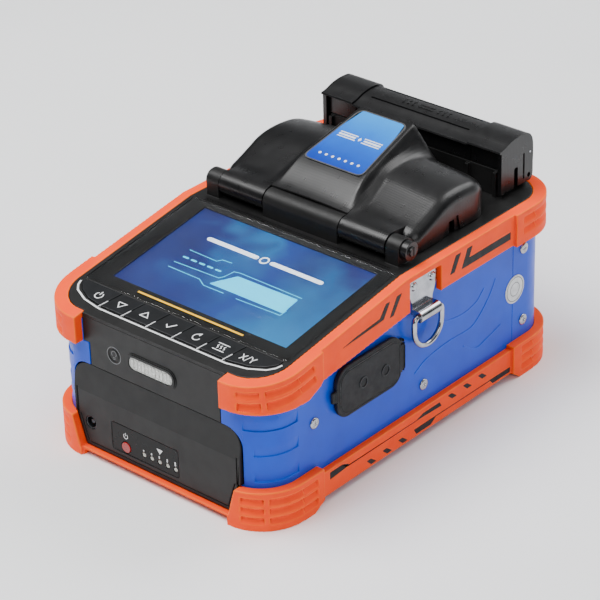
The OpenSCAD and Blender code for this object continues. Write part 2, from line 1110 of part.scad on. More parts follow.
module heater_clamp_right() {
  end_wall = 2.2;
  end_low = 94.4;
  color(black)
    difference() {
      union() {
        lid_stretch(clamp_in, heater_half_w, 0);
        // the outer end wall reaches down beside the base
        across_from(heater_half_w - end_wall, heater_half_w)
          polygon([
            [80.2, end_low], [80.2, lid_low + 8], [heater_rear, lid_low + 8], [heater_rear, 99],
            [103.6, end_low]
          ]);
      }
      translate([clamp_in - 1, 90.5, 0])
        cube([heater_half_w - clamp_in + 2, 3, 105]);
      // slot for the hinge cheek
      translate([cheek_x - 0.2, heater_axis_y - 4, 0])
        cube([cheek_w + 0.4, 20, heater_axis_z + 9]);
      translate([0, heater_axis_y, heater_axis_z])
        rod_x(1.2 + running, -far, far);
    }
}

module heater_clamp_left() {
  mirror([1, 0, 0])
    heater_clamp_right();
}

module heater_pin() {
  color(steel)
    translate([0, heater_axis_y, heater_axis_z])
      rod_x(1.2 - 0.01, -cheek_x - cheek_w - 0.2, cheek_x + cheek_w + 0.2);
}

// ---- splicing chamber ----

block_top = 84;
lens_tilt = 45;
lens_reach = 9;

module lens_axis(side) {
  translate([0, fiber_y, fiber_z])
    rotate([side * (90 + lens_tilt), 0, 0])
      children();
}

module splice_block() {
  color([0.8, 0.81, 0.83])
    difference() {
      union() {
        translate([-31, 20.4, 74])
          cube([62, 35.2, block_top - 74]);
        both_sides()
          translate([2.6, 33, block_top - 1])
            cube([8, 10, 11]);
        // arches that carry the electrodes over the lenses
        for (y = [21.5, 50.5]) {
          both_sides()
            translate([6.8, y, block_top - 1])
              cube([3.2, 4, 11]);
          translate([-10, y, block_top + 8.7])
            cube([20, 4, 1.3]);
        }
      }
      for (side = [-1, 1])
        lens_axis(side)
          cylinder(r = 5.8, h = 60);
    }
}

module v_grooves() {
  color([0.93, 0.93, 0.9])
    both_sides()
      difference() {
        translate([3, 34.5, block_top + 10])
          cube([7, 7, 3]);
        translate([0, fiber_y, fiber_z + 0.35])
          rotate([45, 0, 0])
            cube([far, 0.7, 0.7], center = true);
      }
}

module electrodes() {
  color(steel)
    for (side = [-1, 1])
      translate([0, fiber_y, fiber_z])
        rotate([0, 0, side > 0 ? 0 : 180])
          union() {
            translate([0, 0.9, 0])
              rotate([-90, 0, 0])
                cylinder(r1 = 0.12, r2 = 1, h = 4);
            rod_y(1, 4.8, 17);
            rod_y(1.7, 11.6, 12.6);
          }
}

module electrode_covers() {
  color(steel)
    for (y = [21.5, 50.5])
      difference() {
        union() {
          translate([-4.5, y + 0.2, block_top + 10.1])
            cube([9, 3.6, 5]);
          translate([0, y + 2, block_top + 15])
            cylinder(r = 1.7, h = 1.8);
        }
        translate([0, 0, fiber_z])
          rod_y(1.05, 0, 100);
      }
}

holder_in = 17;
holder_out = 43;

// Sliding fiber holder: stage, raised bed and lid hinge lugs. Drawn for the right side.
module holder_base() {
  color(black)
    difference() {
      union() {
        translate([holder_in, 26, block_top + 0.4])
          cube([holder_out - holder_in, 24, 5]);
        translate([holder_in, 32, block_top + 5])
          cube([holder_out - holder_in, 12, fiber_z - block_top - 5.1]);
        across_from(holder_in + 1, holder_in + 5)
          holder_lug();
        across_from(holder_out - 5, holder_out - 1)
          holder_lug();
      }
      translate([0, fiber_y, fiber_z])
        rotate([45, 0, 0])
          cube([far, 0.8, 0.8], center = true);
      translate([0, 45.6, 98])
        rod_x(0.8 - 0.01, 0, far);
    }
}

module holder_lug() {
  translate([45.6, 98])
    circle(1.8);
  translate([43.8, block_top + 5])
    square([3.6, 98 - block_top - 5]);
}

module fiber_holder_right() { holder_base(); }
module fiber_holder_left() { mirror([1, 0, 0]) holder_base(); }

// Lid of a fiber holder with its own hinge rod
module holder_lid() {
  color([0.55, 0.57, 0.6]) {
    difference() {
      union() {
        translate([holder_in + 0.5, 33.6, fiber_z + 0.3])
          cube([holder_out - holder_in - 1, 10, 2.2]);
        across_from(holder_in + 5.4, holder_out - 5.4) {
          translate([45.6, 98])
            circle(1.6);
          translate([42, 97.3])
            square([3, 2.2]);
        }
      }
    }
    translate([0, 45.6, 98])
      rod_x(0.72, holder_in + 1.2, holder_out - 1.2);
  }
}

module holder_lid_right() { holder_lid(); }
module holder_lid_left() { mirror([1, 0, 0]) holder_lid(); }

// Two crossed microscope barrels with their camera boards
module microscopes() {
  color(black)
    for (side = [-1, 1])
      lens_axis(side) {
        translate([0, 0, lens_reach])
          cylinder(r1 = 3.2, r2 = 5.4, h = 5);
        translate([0, 0, lens_reach + 4.9])
          cylinder(r = 5.4, h = 26);
        translate([-9, -9, lens_reach + 30.8])
          cube([18, 18, 1.6]);
      }
}

module push_motors() {
  color(steel)
    both_sides()
      translate([0, fiber_y, 66]) {
        rod_x(7, 30, 52);
        rod_x(1.5, 22, 30.5);
        translate([20, -4, -4])
          cube([4, 8, 8]);
      }
}

// ---- electronics ----

module main_board() {
  color(board_green) {
    translate([-60, -96, 53])
      cube([104, 76, 1.6]);
    for (c = [[-40, -80, 14], [-10, -70, 18], [20, -50, 12], [-45, -45, 20]])
      translate([c[0], c[1], 54.5])
        cube([c[2], c[2], 2]);
    for (y = [-90, -60, -30])
      translate([-59, y, 54.5])
        cube([6, 14, 6]);
  }
}

module arc_transformer() {
  color([0.2, 0.2, 0.22])
    union() {
      translate([18, 68, 5])
        cube([34, 28, 26]);
      for (x = [24, 46])
        translate([x, 82, 30.5])
          cylinder(r = 3, h = 7);
    }
}

// ---- battery ----

battery_back = battery_front_y + 4 + battery_len;

module battery_case() {
  color(black)
    difference() {
      translate([-46, battery_front_y + 4, 6.2])
        cube([92, battery_len, 41]);
      translate([-44.4, battery_front_y + 3, 7.8])
        cube([88.8, battery_len - 0.6, 37.8]);
      // room for the charging jack
      translate([-43, 0, 18])
        rod_y(3.5, battery_front_y, battery_front_y + 12.2);
    }
}

// Moulded front with a crease where the upper part leans back
module battery_front() {
  crease = 34.5;
  lean = 2;
  rim_in = 1.6;
  rim_depth = 0.7;
  color(black)
    difference() {
      intersection() {
        along(-far, far)
          difference() {
            front_opening(0);
            translate([-far, battery_top])
              square([2 * far, far]);
          }
        across(far)
          polygon([
            [battery_front_y, 0], [battery_front_y + 3.9, 0], [battery_front_y + 3.9, far],
            [battery_front_y + lean, far], [battery_front_y + lean, battery_top],
            [battery_front_y, crease]
          ]);
      }
      // narrow rim groove round the edge
      along(battery_front_y - 1, battery_front_y + rim_depth)
        difference() {
          front_opening(-rim_in);
          front_opening(-rim_in - 0.7);
          translate([-far, battery_top - 14])
            square([2 * far, far]);
        }
      label_plate(0.6, 2, 0);
      translate([-20, 0, 13])
        rod_y(3.1, battery_front_y - 1, battery_front_y + 10);
      translate([-43, 0, 18])
        rod_y(3.5, battery_front_y - 1, battery_front_y + 10);
      for (x = LED_X)
        translate([x, 0, 13.4])
          rod_y(1.3, battery_front_y - 1, battery_front_y + 10);
    }
}

LED_X = [-8.5, -3.4, 1.6, 6.7, 11.8];

// The recessed plate round the battery lamps, between two depths
module label_plate(depth, height, inset) {
  along(battery_front_y + depth - height, battery_front_y + depth)
    translate([-7.5, 17])
      rounded(21.5 - inset, 7.6 - inset, 1.2);
}

module battery_label() {
  color([0.02, 0.02, 0.02])
    difference() {
      label_plate(0.6, 0.5, 0.1);
      translate([-20, 0, 13])
        rod_y(3.1, -far, far);
      for (x = LED_X)
        translate([x, 0, 13.4])
          rod_y(1.3, -far, far);
    }
}

module battery_leds() {
  color([0.85, 0.85, 0.8])
    for (x = LED_X)
      translate([x, 0, 13.4])
        rod_y(1.15, battery_front_y + 0.3, battery_front_y + 5);
}

module battery_button() {
  color([0.8, 0.1, 0.1])
    translate([-20, 0, 13]) {
      rod_y(2.75, battery_front_y - 0.2, battery_front_y + 3);
      rod_y(3.8, battery_front_y + 4.8, battery_front_y + 5.8);
      rod_y(1.6, battery_front_y + 2.9, battery_front_y + 5);
    }
}

module dc_jack() {
  color(steel)
    translate([-43, 0, 18]) {
      difference() {
        rod_y(3.4, battery_front_y + 0.4, battery_front_y + 12);
        rod_y(2.85, battery_front_y - 1, battery_front_y + 10.5);
      }
      rod_y(1.2, battery_front_y + 1.5, battery_front_y + 11);
    }
}

module battery_cells() {
  cell_r = 9.2;
  cell_len = 65;
  color([0.2, 0.5, 0.4])
    for (x = [-34, -11.5, 11.5, 34], z = [17.6, 36.2])
      translate([x, 0, z])
        rod_y(cell_r, battery_back - 2 - cell_len, battery_back - 2);
}

module battery_bay() {
  wall = 1.5;
  color([0.25, 0.25, 0.27])
    difference() {
      translate([-46.6 - wall, -103, 5.2])
        cube([2 * (46.6 + wall), battery_back + 108, 44]);
      translate([-46.6, -104, 5.8])
        cube([2 * 46.6, battery_back + 107, 41.9]);
    }
}

// ---- test ports ----

module port_cutout() {
  translate([body_half_w, port_y, port_z])
    across_from(-4, 4)
      rounded(21.5, 11.3, 6);
}

module port_frame() {
  color(black)
    translate([body_half_w, port_y, port_z])
      difference() {
        union() {
          across_from(0.02, 0.7)
            rounded(22.4, 12.1, 6.8);
          across_from(-6, 0.1)
            rounded(21.3, 11.1, 5.8);
          // ears that hold the cover's hinge pin
          for (z = [-8.6, 7])
            translate([0.1, 23, z])
              cube([2.4, 3, 1.6]);
        }
        across_from(-4.4, 5)
          rounded(19.4, 9, 5);
        for (y = [-adapter_pitch / 2, adapter_pitch / 2])
          translate([0, y, 0])
            rod_x(4.2, -10, 0);
        for (y = [-16.6, 16.6])
          translate([0, y, 0])
            rod_x(0.9, -10, 0);
        translate([2, 24.9, -20])
          cylinder(r = 0.7, h = 40, $fn = 32);
      }
}

module port_screws() {
  color(steel)
    for (y = [-16.6, 16.6])
      translate([body_half_w, port_y + y, port_z])
        difference() {
          union() {
            rod_x(1.75, -4.35, -3.4);
            rod_x(0.85, -7, -4);
          }
          translate([-3.4, 0, 0])
            cube([0.8, 2.4, 0.5], center = true);
        }
}

// Threaded adapters with a hole for the fiber connector's ferrule
module fc_adapters() {
  color(steel)
    for (y = [-adapter_pitch / 2, adapter_pitch / 2])
      translate([body_half_w, port_y + y, port_z])
        difference() {
          union() {
            rod_x(6.2, -4.3, -3.4);
            rod_x(4, -12, -1);
          }
          rod_x(3.2, -7, 0);
          rod_x(ferrule_r, -20, 0);
        }
  color([0.9, 0.9, 0.85])
    for (y = [-adapter_pitch / 2, adapter_pitch / 2])
      translate([body_half_w, port_y + y, port_z])
        difference() {
          rod_x(2, -8, -1.4);
          rod_x(ferrule_r, -20, 0);
        }
}

// Rubber cover with a pull tab at the front and a hinge at the rear
module port_cover() {
  color(black)
    translate([body_half_w, port_y, port_z])
      difference() {
        union() {
          across_from(1, 3.2)
            difference() {
              rounded(23.5, 13.25, 8);
              translate([22.6, -20])
                square([10, 40]);
            }
          across_from(3.1, 3.7)
            difference() {
              rounded(21.5, 11.25, 6.4);
              translate([20.6, -20])
                square([10, 40]);
            }
          // pull tab
          across_from(1, 2.6)
            translate([-26, -2.8])
              square([5, 5.6]);
          // plug ridge that enters the recess
          across_from(-0.6, 1.1)
            difference() {
              rounded(17, 7.6, 4);
              rounded(15.4, 6, 3);
            }
          // hinge barrel and its strap
          translate([2, 24.9, -6.6])
            cylinder(r = 1.2, h = 13.2, $fn = 32);
          translate([1, 22, -6.6])
            cube([2.2, 3, 13.2]);
        }
        translate([2, 24.9, -20])
          cylinder(r = 0.7 + running, h = 40, $fn = 32);
      }
}

// ---- strap rings ----

strap_x = body_half_w + 4.4;
loop_r = 3;

module strap_bracket() {
  plate_top = 88.4;
  color(steel)
    difference() {
      union() {
        across_from(body_half_w + 0.02, body_half_w + 1.4)
          polygon([
            [strap_y - 10.5, plate_top], [strap_y + 10.5, plate_top], [strap_y + 10.5, 82],
            [strap_y + 7.4, 74], [strap_y + 7.4, strap_z], [strap_y - 7.4, strap_z], [strap_y - 7.4, 74],
            [strap_y - 10.5, 82]
          ]);
        translate([strap_x, strap_y - 7.4, strap_z])
          rod_y(loop_r, 0, 14.8);
        translate([body_half_w + 0.02, strap_y - 7.4, strap_z])
          cube([4.4, 14.8, loop_r]);
        for (y = [-6.6, 6.6])
          translate([body_half_w + 1.3, strap_y + y, 84.6])
            rotate([0, 90, 0])
              cylinder(r1 = 2.4, r2 = 1.5, h = 1.3);
      }
      translate([strap_x, 0, strap_z])
        rod_y(wire_r + running, -far, far);
    }
}

module strap_brackets() {
  both_sides()
    strap_bracket();
}

// Ring of round wire: a straight bar through the bracket, two sides and a half circle
module d_ring() {
  ring_r = 10.2;
  drop = 7;
  color(steel)
    translate([strap_x, strap_y, strap_z]) {
      rod_y(wire_r, -ring_r, ring_r);
      for (y = [-ring_r, ring_r])
        translate([0, y, 0]) {
          sphere(wire_r);
          translate([0, 0, -drop])
            cylinder(r = wire_r, h = drop);
        }
      translate([0, 0, -drop])
        rotate([0, 90, 0])
          rotate([0, 0, -90])
            rotate_extrude(angle = 180)
              translate([ring_r, 0])
                circle(wire_r, $fn = 32);
    }
}

module d_ring_right() { d_ring(); }
module d_ring_left() { mirror([1, 0, 0]) d_ring(); }

// ---- drawing ----

side_shell();
rear_shell();
bottom_plate();
lower_bumper();
upper_bumper();
bumper_inlays();
front_panel();
lamp_lens();
lamp_board();
top_cover();
screen_glass();
lcd_panel();
keypad_board();
key_power();
key_down();
key_up();
key_confirm();
key_reset();
key_heat();
key_view();
wind_cover();
wind_cover_label();
cover_clamps();
hinge_pin();
hinge_caps();
heater_base();
heater_plate();
heater_lid();
heater_clamp_left();
heater_clamp_right();
heater_pin();
splice_block();
v_grooves();
electrodes();
electrode_covers();
fiber_holder_left();
fiber_holder_right();
holder_lid_left();
holder_lid_right();
microscopes();
push_motors();
main_board();
arc_transformer();
battery_case();
battery_front();
battery_cells();
battery_label();
battery_leds();
battery_button();
dc_jack();
battery_bay();
port_frame();
fc_adapters();
port_screws();
port_cover();
strap_brackets();
d_ring_left();
d_ring_right();
side_screws();
seal_sticker();
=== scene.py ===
import math

import bmesh
import bpy
from mathutils import Matrix, Vector


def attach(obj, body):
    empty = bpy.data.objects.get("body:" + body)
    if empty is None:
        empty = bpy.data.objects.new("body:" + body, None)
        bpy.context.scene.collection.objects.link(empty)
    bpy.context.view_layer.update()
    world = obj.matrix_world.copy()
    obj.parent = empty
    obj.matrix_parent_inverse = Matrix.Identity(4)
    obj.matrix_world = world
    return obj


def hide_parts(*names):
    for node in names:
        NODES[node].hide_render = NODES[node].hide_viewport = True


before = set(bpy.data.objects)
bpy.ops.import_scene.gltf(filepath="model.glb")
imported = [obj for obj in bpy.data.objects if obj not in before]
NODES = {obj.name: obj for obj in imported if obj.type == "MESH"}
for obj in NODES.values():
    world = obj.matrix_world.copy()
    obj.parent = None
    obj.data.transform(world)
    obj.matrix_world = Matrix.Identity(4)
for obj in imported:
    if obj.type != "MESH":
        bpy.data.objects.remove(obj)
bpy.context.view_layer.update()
MM = 0.001


# ---- node materials ----


def linear(channel):
    """One sRGB channel from 0 to 255, as the linear value a shader takes."""
    c = channel / 255
    return c / 12.92 if c <= 0.04045 else ((c + 0.055) / 1.055) ** 2.4


def rgb(red, green, blue):
    return (linear(red), linear(green), linear(blue), 1)


class Look:
    """A material built out of nodes round one Principled shader."""

    def __init__(self, name, **settings):
        self.material = bpy.data.materials.new(name)
        self.material.use_nodes = True
        self.tree = self.material.node_tree
        self.shader = self.tree.nodes["Principled BSDF"]
        self.place = self.add("ShaderNodeTexCoord").outputs["Object"]
        for name, value in settings.items():
            self.feed(name.replace("_", " "), value)

    def add(self, kind, inputs=(), **settings):
        node = self.tree.nodes.new(kind)
        for name, value in settings.items():
            setattr(node, name, value)
        for key, value in dict(inputs).items():
            self.join(node.inputs[key], value)
        return node

    def join(self, socket, value):
        if isinstance(value, bpy.types.NodeSocket):
            self.tree.links.new(value, socket)
        else:
            socket.default_value = value

    def feed(self, name, value):
        """Gives the shader's own socket a number, a colour or a link."""
        self.join(self.shader.inputs[name], value)

    def noise(self, size, detail=3, stretch=(1, 1, 1)):
        """Noise whose blobs are about size millimetres wide."""
        place = self.add("ShaderNodeMapping", {"Vector": self.place, "Scale": stretch})
        inputs = {"Vector": place.outputs["Vector"], "Scale": 1 / (size * MM), "Detail": detail}
        return self.add("ShaderNodeTexNoise", inputs).outputs[0]

    def ramp(self, fac, *stops):
        node = self.add("ShaderNodeValToRGB", {"Fac": fac})
        elements = node.color_ramp.elements
        while len(elements) < len(stops):
            elements.new(1)
        for element, (position, colour) in zip(elements, stops):
            element.position = position
            element.color = colour
        return node.outputs["Color"]

    def spread(self, fac, low, high, start=0.3, end=0.7):
        """fac from start to end, as a number from low to high."""
        inputs = {"Value": fac, "From Min": start, "From Max": end, "To Min": low, "To Max": high}
        return self.add("ShaderNodeMapRange", inputs).outputs["Result"]

    def math(self, operation, a, b):
        return self.add("ShaderNodeMath", {0: a, 1: b}, operation=operation).outputs[0]

    def mix(self, fac, a, b):
        node = self.add("ShaderNodeMix", {0: fac, 6: a, 7: b}, data_type="RGBA")
        return node.outputs[2]

    def relief(self, height, depth):
        """Bumps of that depth in millimetres."""
        inputs = {"Height": height, "Distance": depth * MM, "Strength": 1}
        return self.add("ShaderNodeBump", inputs).outputs["Normal"]

    def edges(self, width):
        """1 along outer and inner edges, 0 on open faces."""
        rounded = self.add("ShaderNodeBevel", {"Radius": width * MM}, samples=6)
        plain = self.add("ShaderNodeNewGeometry").outputs["Normal"]
        dot = self.add(
            "ShaderNodeVectorMath", {0: rounded.outputs[0], 1: plain}, operation="DOT_PRODUCT"
        )
        return self.spread(dot.outputs["Value"], 1, 0, 0.8, 0.99)

    def axis(self, name):
        return self.add("ShaderNodeSeparateXYZ", {0: self.place}).outputs[name]

    def surface(self, dark, light, gloss, patch=14, grain=0.45, depth=0.006,
                edge_wear_and_highlight=None, width=0.5):
        """What every finish has: a drifting tint and gloss, a fine relief, and edges in a paler
        colour that is partly wear and partly a painted highlight.
        """
        tint = self.ramp(self.noise(patch, 4), (0.3, dark), (0.7, light))
        if edge_wear_and_highlight is not None:
            # the paler colour along the edges is partly wear and partly a painted highlight
            patchy = self.spread(self.noise(3), 0.25, 0.9)
            rubbed_and_lit = self.math("MULTIPLY", self.edges(width), patchy)
            tint = self.mix(rubbed_and_lit, tint, edge_wear_and_highlight)
        self.feed("Base Color", tint)
        self.feed("Roughness", self.spread(self.noise(patch / 3, 5), *gloss))
        self.feed("Normal", self.relief(self.noise(grain, 2), depth))
        return self.material


def blue_paint():
    look = Look("blue_paint", Specular_IOR_Level=0.3)
    return look.surface(
        rgb(0, 62, 190), rgb(0, 72, 206), (0.3, 0.42),
        patch=22, grain=0.9, depth=0.004, edge_wear_and_highlight=rgb(0, 104, 240), width=0.6,
    )


RUBBER_DARK = rgb(248, 64, 0)
RUBBER_LIGHT = rgb(255, 74, 0)


def orange_rubber():
    """Soft rubber with painted shade down in its grooves and a painted highlight along its ridges.
    """
    look = Look("orange_rubber", Specular_IOR_Level=0.2)
    look.surface(RUBBER_DARK, RUBBER_LIGHT, (0.5, 0.64), patch=12, grain=0.35, depth=0.008)
    tint = look.ramp(look.noise(12, 4), (0.3, RUBBER_DARK), (0.7, RUBBER_LIGHT))
    bend = look.add("ShaderNodeNewGeometry").outputs["Pointiness"]
    # painted shade darkens the grooves and a painted highlight lightens the ridges, both found from
    # how sharply the surface bends
    groove_shade = look.spread(bend, 1, 0, 0.42, 0.49)
    ridge_highlight = look.spread(bend, 0, 0.7, 0.505, 0.55)
    tint = look.mix(ridge_highlight, tint, rgb(255, 122, 6))
    look.feed("Base Color", look.mix(groove_shade, tint, rgb(176, 34, 0)))
    return look.material


def black_plastic():
    look = Look("black_plastic", Specular_IOR_Level=0.3)
    return look.surface(
        rgb(16, 16, 16), rgb(24, 24, 24), (0.38, 0.5),
        patch=16, grain=0.35, depth=0.008, edge_wear_and_highlight=rgb(40, 41, 42), width=0.3,
    )


def gloss_black():
    """Satin moulded lid with a fine woven grain."""
    look = Look("gloss_black", Specular_IOR_Level=0.4)
    look.surface(rgb(12, 12, 13), rgb(20, 20, 21), (0.26, 0.36), patch=18)
    across, along = [
        look.add(
            "ShaderNodeTexWave", {"Vector": look.place, "Scale": 260.0}, bands_direction=direction
        ).outputs["Fac"]
        for direction in ("X", "Y")
    ]
    look.feed("Normal", look.relief(look.math("ADD", across, along), 0.012))
    return look.material


def dark_plastic():
    look = Look("dark_plastic")
    return look.surface(
        rgb(58, 60, 62), rgb(70, 72, 74), (0.5, 0.62),
        patch=12, grain=0.4, depth=0.01, edge_wear_and_highlight=rgb(110, 112, 114),
    )


def black_rubber():
    look = Look("black_rubber", Specular_IOR_Level=0.3)
    return look.surface(
        rgb(13, 14, 16), rgb(21, 22, 25), (0.5, 0.66),
        patch=10, grain=0.3, depth=0.01, edge_wear_and_highlight=rgb(84, 87, 90), width=0.6,
    )


def key_plastic():
    look = Look("key_plastic", Specular_IOR_Level=0.3)
    return look.surface(
        rgb(14, 15, 17), rgb(20, 22, 25), (0.32, 0.44),
        patch=9, grain=0.3, depth=0.005, edge_wear_and_highlight=rgb(92, 95, 98), width=0.35,
    )


def screen_glass():
    look = Look("screen_glass", Transmission_Weight=1.0, IOR=1.3)
    tint = look.ramp(look.noise(30), (0.3, (0.94, 0.97, 1, 1)), (0.7, (1, 1, 1, 1)))
    look.feed("Base Color", tint)
    look.feed("Roughness", look.spread(look.noise(18, 5), 0.0, 0.035))
    look.feed("Normal", look.relief(look.noise(40, 1), 0.004))
    return look.material


def display():
    """A lit screen picture: deep blue at the left, a cyan glow above the middle."""
    look = Look("display", Roughness=0.4, Emission_Strength=1.0)
    wave = look.noise(34, 2)
    slid = look.math("ADD", look.axis("X"), look.spread(wave, -0.02, 0.02))
    across = look.spread(slid, 0, 1, -0.052, 0.056)
    picture = look.ramp(
        across,
        (0.0, rgb(0, 12, 92)),
        (0.2, rgb(0, 36, 132)),
        (0.36, rgb(0, 134, 208)),
        (0.48, rgb(0, 72, 176)),
        (0.78, rgb(0, 26, 122)),
        (1.0, rgb(0, 40, 138)),
    )
    upward = look.spread(look.axis("Y"), 0, 1, -0.08, -0.012)
    shade = look.math("MULTIPLY", upward, look.spread(look.noise(22, 2), 0.6, 1.3))
    lower = look.ramp(
        across, (0.0, rgb(0, 30, 130)), (0.55, rgb(0, 74, 176)), (0.85, rgb(0, 150, 225))
    )
    look.feed("Emission Color", look.mix(shade, lower, picture))
    look.feed("Base Color", look.ramp(wave, (0.3, rgb(4, 8, 20)), (0.7, rgb(8, 14, 30))))
    look.feed("Normal", look.relief(look.noise(0.3, 1), 0.002))
    return look.material


def ink(name, dark, light, glow=0.0):
    """Printed ink; on the screen it gives light of its own."""
    look = Look(name, Emission_Strength=glow)
    tint = look.ramp(look.noise(2.5, 4), (0.3, dark), (0.7, light))
    look.feed("Base Color", tint)
    if glow:
        look.feed("Emission Color", tint)
    look.feed("Roughness", look.spread(look.noise(1.2), 0.35, 0.5))
    look.feed("Normal", look.relief(look.noise(0.25, 2), 0.004))
    return look.material


def blue_label():
    """Printed plastic label, lighter toward its rear end."""
    look = Look("blue_label", Specular_IOR_Level=0.3)
    along = look.spread(look.axis("Y"), 0, 1, 0.019, 0.062)
    drift = look.math("ADD", along, look.spread(look.noise(16, 3), -0.05, 0.05))
    tint = look.ramp(
        drift, (0.05, rgb(0, 52, 160)), (0.45, rgb(0, 92, 200)), (0.95, rgb(0, 140, 226))
    )
    look.feed("Base Color", tint)
    look.feed("Roughness", look.spread(look.noise(3, 4), 0.3, 0.42))
    look.feed("Normal", look.relief(look.noise(0.3, 2), 0.002))
    return look.material


def label_plate():
    look = Look("label_plate", Specular_IOR_Level=0.2)
    return look.surface(
        rgb(5, 5, 6), rgb(9, 9, 10), (0.25, 0.35),
        patch=8, grain=0.3, depth=0.003, edge_wear_and_highlight=rgb(60, 61, 62), width=0.3,
    )


def lamp_lens():
    """Milky lens of the battery's small lamps."""
    look = Look("lamp_lens", Transmission_Weight=0.35, Coat_Weight=0.5)
    return look.surface(
        rgb(196, 194, 184), rgb(222, 220, 208), (0.22, 0.34),
        patch=3, grain=0.5, depth=0.006,
    )


def lamp_glass():
    """Ribbed diffuser of the work lamp."""
    look = Look("lamp_glass", Transmission_Weight=0.35, IOR=1.45)
    tint = look.ramp(look.noise(2.4), (0.3, rgb(222, 223, 218)), (0.7, rgb(246, 247, 243)))
    look.feed("Base Color", tint)
    look.feed("Roughness", look.spread(look.noise(2, 3), 0.18, 0.4))
    look.feed("Normal", look.relief(look.noise(1.1, 2), 0.006))
    return look.material


def red_plastic():
    look = Look("red_plastic", Coat_Weight=0.5, Coat_Roughness=0.1)
    return look.surface(
        rgb(140, 4, 4), rgb(164, 8, 8), (0.25, 0.35),
        patch=3, grain=0.3, depth=0.004, edge_wear_and_highlight=rgb(210, 60, 50), width=0.2,
    )


def bright_metal():
    look = Look("bright_metal", Metallic=1.0)
    return look.surface(
        rgb(150, 152, 157), rgb(178, 180, 185), (0.08, 0.2),
        patch=5, grain=0.6, depth=0.004, edge_wear_and_highlight=rgb(235, 236, 240), width=0.25,
    )


def aluminium():
    look = Look("aluminium", Metallic=1.0)
    look.surface(rgb(176, 178, 182), rgb(206, 208, 212), (0.26, 0.4), patch=6)
    look.feed("Normal", look.relief(look.noise(0.4, 2, (0.05, 1, 1)), 0.006))
    return look.material


def dark_metal():
    look = Look("dark_metal", Metallic=0.9)
    return look.surface(
        rgb(52, 54, 58), rgb(74, 76, 80), (0.3, 0.45),
        patch=6, grain=0.4, depth=0.006, edge_wear_and_highlight=rgb(150, 152, 156), width=0.3,
    )


def ceramic():
    look = Look("ceramic", Coat_Weight=0.4)
    return look.surface(
        rgb(226, 225, 214), rgb(240, 239, 230), (0.25, 0.35),
        patch=4, grain=0.4, depth=0.003,
    )


def circuit_board():
    """Green solder mask with paler tracks in a fine maze."""
    look = Look("circuit_board", Coat_Weight=0.3)
    look.surface(rgb(12, 74, 40), rgb(18, 92, 50), (0.35, 0.48), patch=8, grain=0.4, depth=0.004)
    cells = look.add(
        "ShaderNodeTexVoronoi", {"Vector": look.place, "Scale": 420.0}, distance="MANHATTAN"
    )
    tracks = look.spread(cells.outputs["Distance"], 1, 0, 0.3, 0.36)
    look.feed("Base Color", look.mix(tracks, rgb(14, 82, 44), rgb(58, 138, 86)))
    return look.material


def cell_wrap():
    look = Look("cell_wrap", Coat_Weight=0.7)
    return look.surface(
        rgb(28, 118, 104), rgb(38, 138, 122), (0.3, 0.42),
        patch=12, grain=0.6, depth=0.004, edge_wear_and_highlight=rgb(110, 190, 176),
    )


def silver_foil():
    """Foil sticker with a soft shine."""
    look = Look("silver_foil", Metallic=0.7)
    look.surface(
        rgb(188, 190, 192), rgb(216, 218, 219), (0.28, 0.42),
        patch=3, grain=0.3, depth=0.004, edge_wear_and_highlight=rgb(240, 240, 240), width=0.2,
    )
    return look.material


def floor_paint():
    look = Look("floor_paint")
    return look.surface(
        rgb(238, 239, 241), rgb(244, 245, 246), (0.55, 0.7),
        patch=400, grain=6, depth=0.01,
    )


LOOKS = {
    "blue_paint": (blue_paint, ["side_shell", "rear_shell"]),
    "orange_rubber": (orange_rubber, ["upper_bumper", "lower_bumper"]),
    "black_plastic": (
        black_plastic,
        ["front_panel", "top_cover", "heater_base", "heater_lid", "heater_clamp_left",
         "heater_clamp_right", "battery_case", "battery_front", "port_frame", "bottom_plate",
         "electrode_covers"],
    ),
    "gloss_black": (gloss_black, ["wind_cover", "hinge_caps"]),
    "dark_plastic": (dark_plastic, ["battery_bay", "arc_transformer"]),
    "black_rubber": (black_rubber, ["port_cover", "bumper_inlays"]),
    "key_plastic": (
        key_plastic,
        ["key_power", "key_down", "key_up", "key_confirm", "key_reset", "key_heat", "key_view"],
    ),
    "screen_glass": (screen_glass, ["screen_glass"]),
    "lamp_glass": (lamp_glass, ["lamp_lens"]),
    "display": (display, ["lcd_panel"]),
    "blue_label": (blue_label, ["wind_cover_label"]),
    "label_plate": (label_plate, ["battery_label"]),
    "lamp_lens": (lamp_lens, ["battery_leds"]),
    "red_plastic": (red_plastic, ["battery_button"]),
    "bright_metal": (
        bright_metal,
        ["side_screws", "strap_brackets", "d_ring_left", "d_ring_right", "hinge_pin", "heater_pin",
         "port_screws", "electrodes", "fc_adapters", "cover_clamps", "push_motors"],
    ),
    "aluminium": (
        aluminium,
        ["heater_plate", "splice_block", "holder_lid_left", "holder_lid_right"],
    ),
    "dark_metal": (
        dark_metal,
        ["fiber_holder_left", "fiber_holder_right", "microscopes", "dc_jack"],
    ),
    "ceramic": (ceramic, ["v_grooves"]),
    "circuit_board": (circuit_board, ["main_board", "keypad_board", "lamp_board"]),
    "cell_wrap": (cell_wrap, ["battery_cells"]),
    "silver_foil": (silver_foil, ["seal_sticker"]),
}


# Soft rubber pieces, rounded all over
MOULDED = ["upper_bumper", "lower_bumper"]

# Width of the rounded edges in millimetres, and where it isn't the usual one
USUAL_EDGE = 0.25
EDGE_WIDTH = {
    "side_shell": 0.3, "rear_shell": 0.3, "front_panel": 0.3,
    "battery_front": 0.4, "port_cover": 0.5, "side_screws": 0.2,
}


def dress(obj, material):
    obj.data.materials.clear()
    obj.data.materials.append(material)


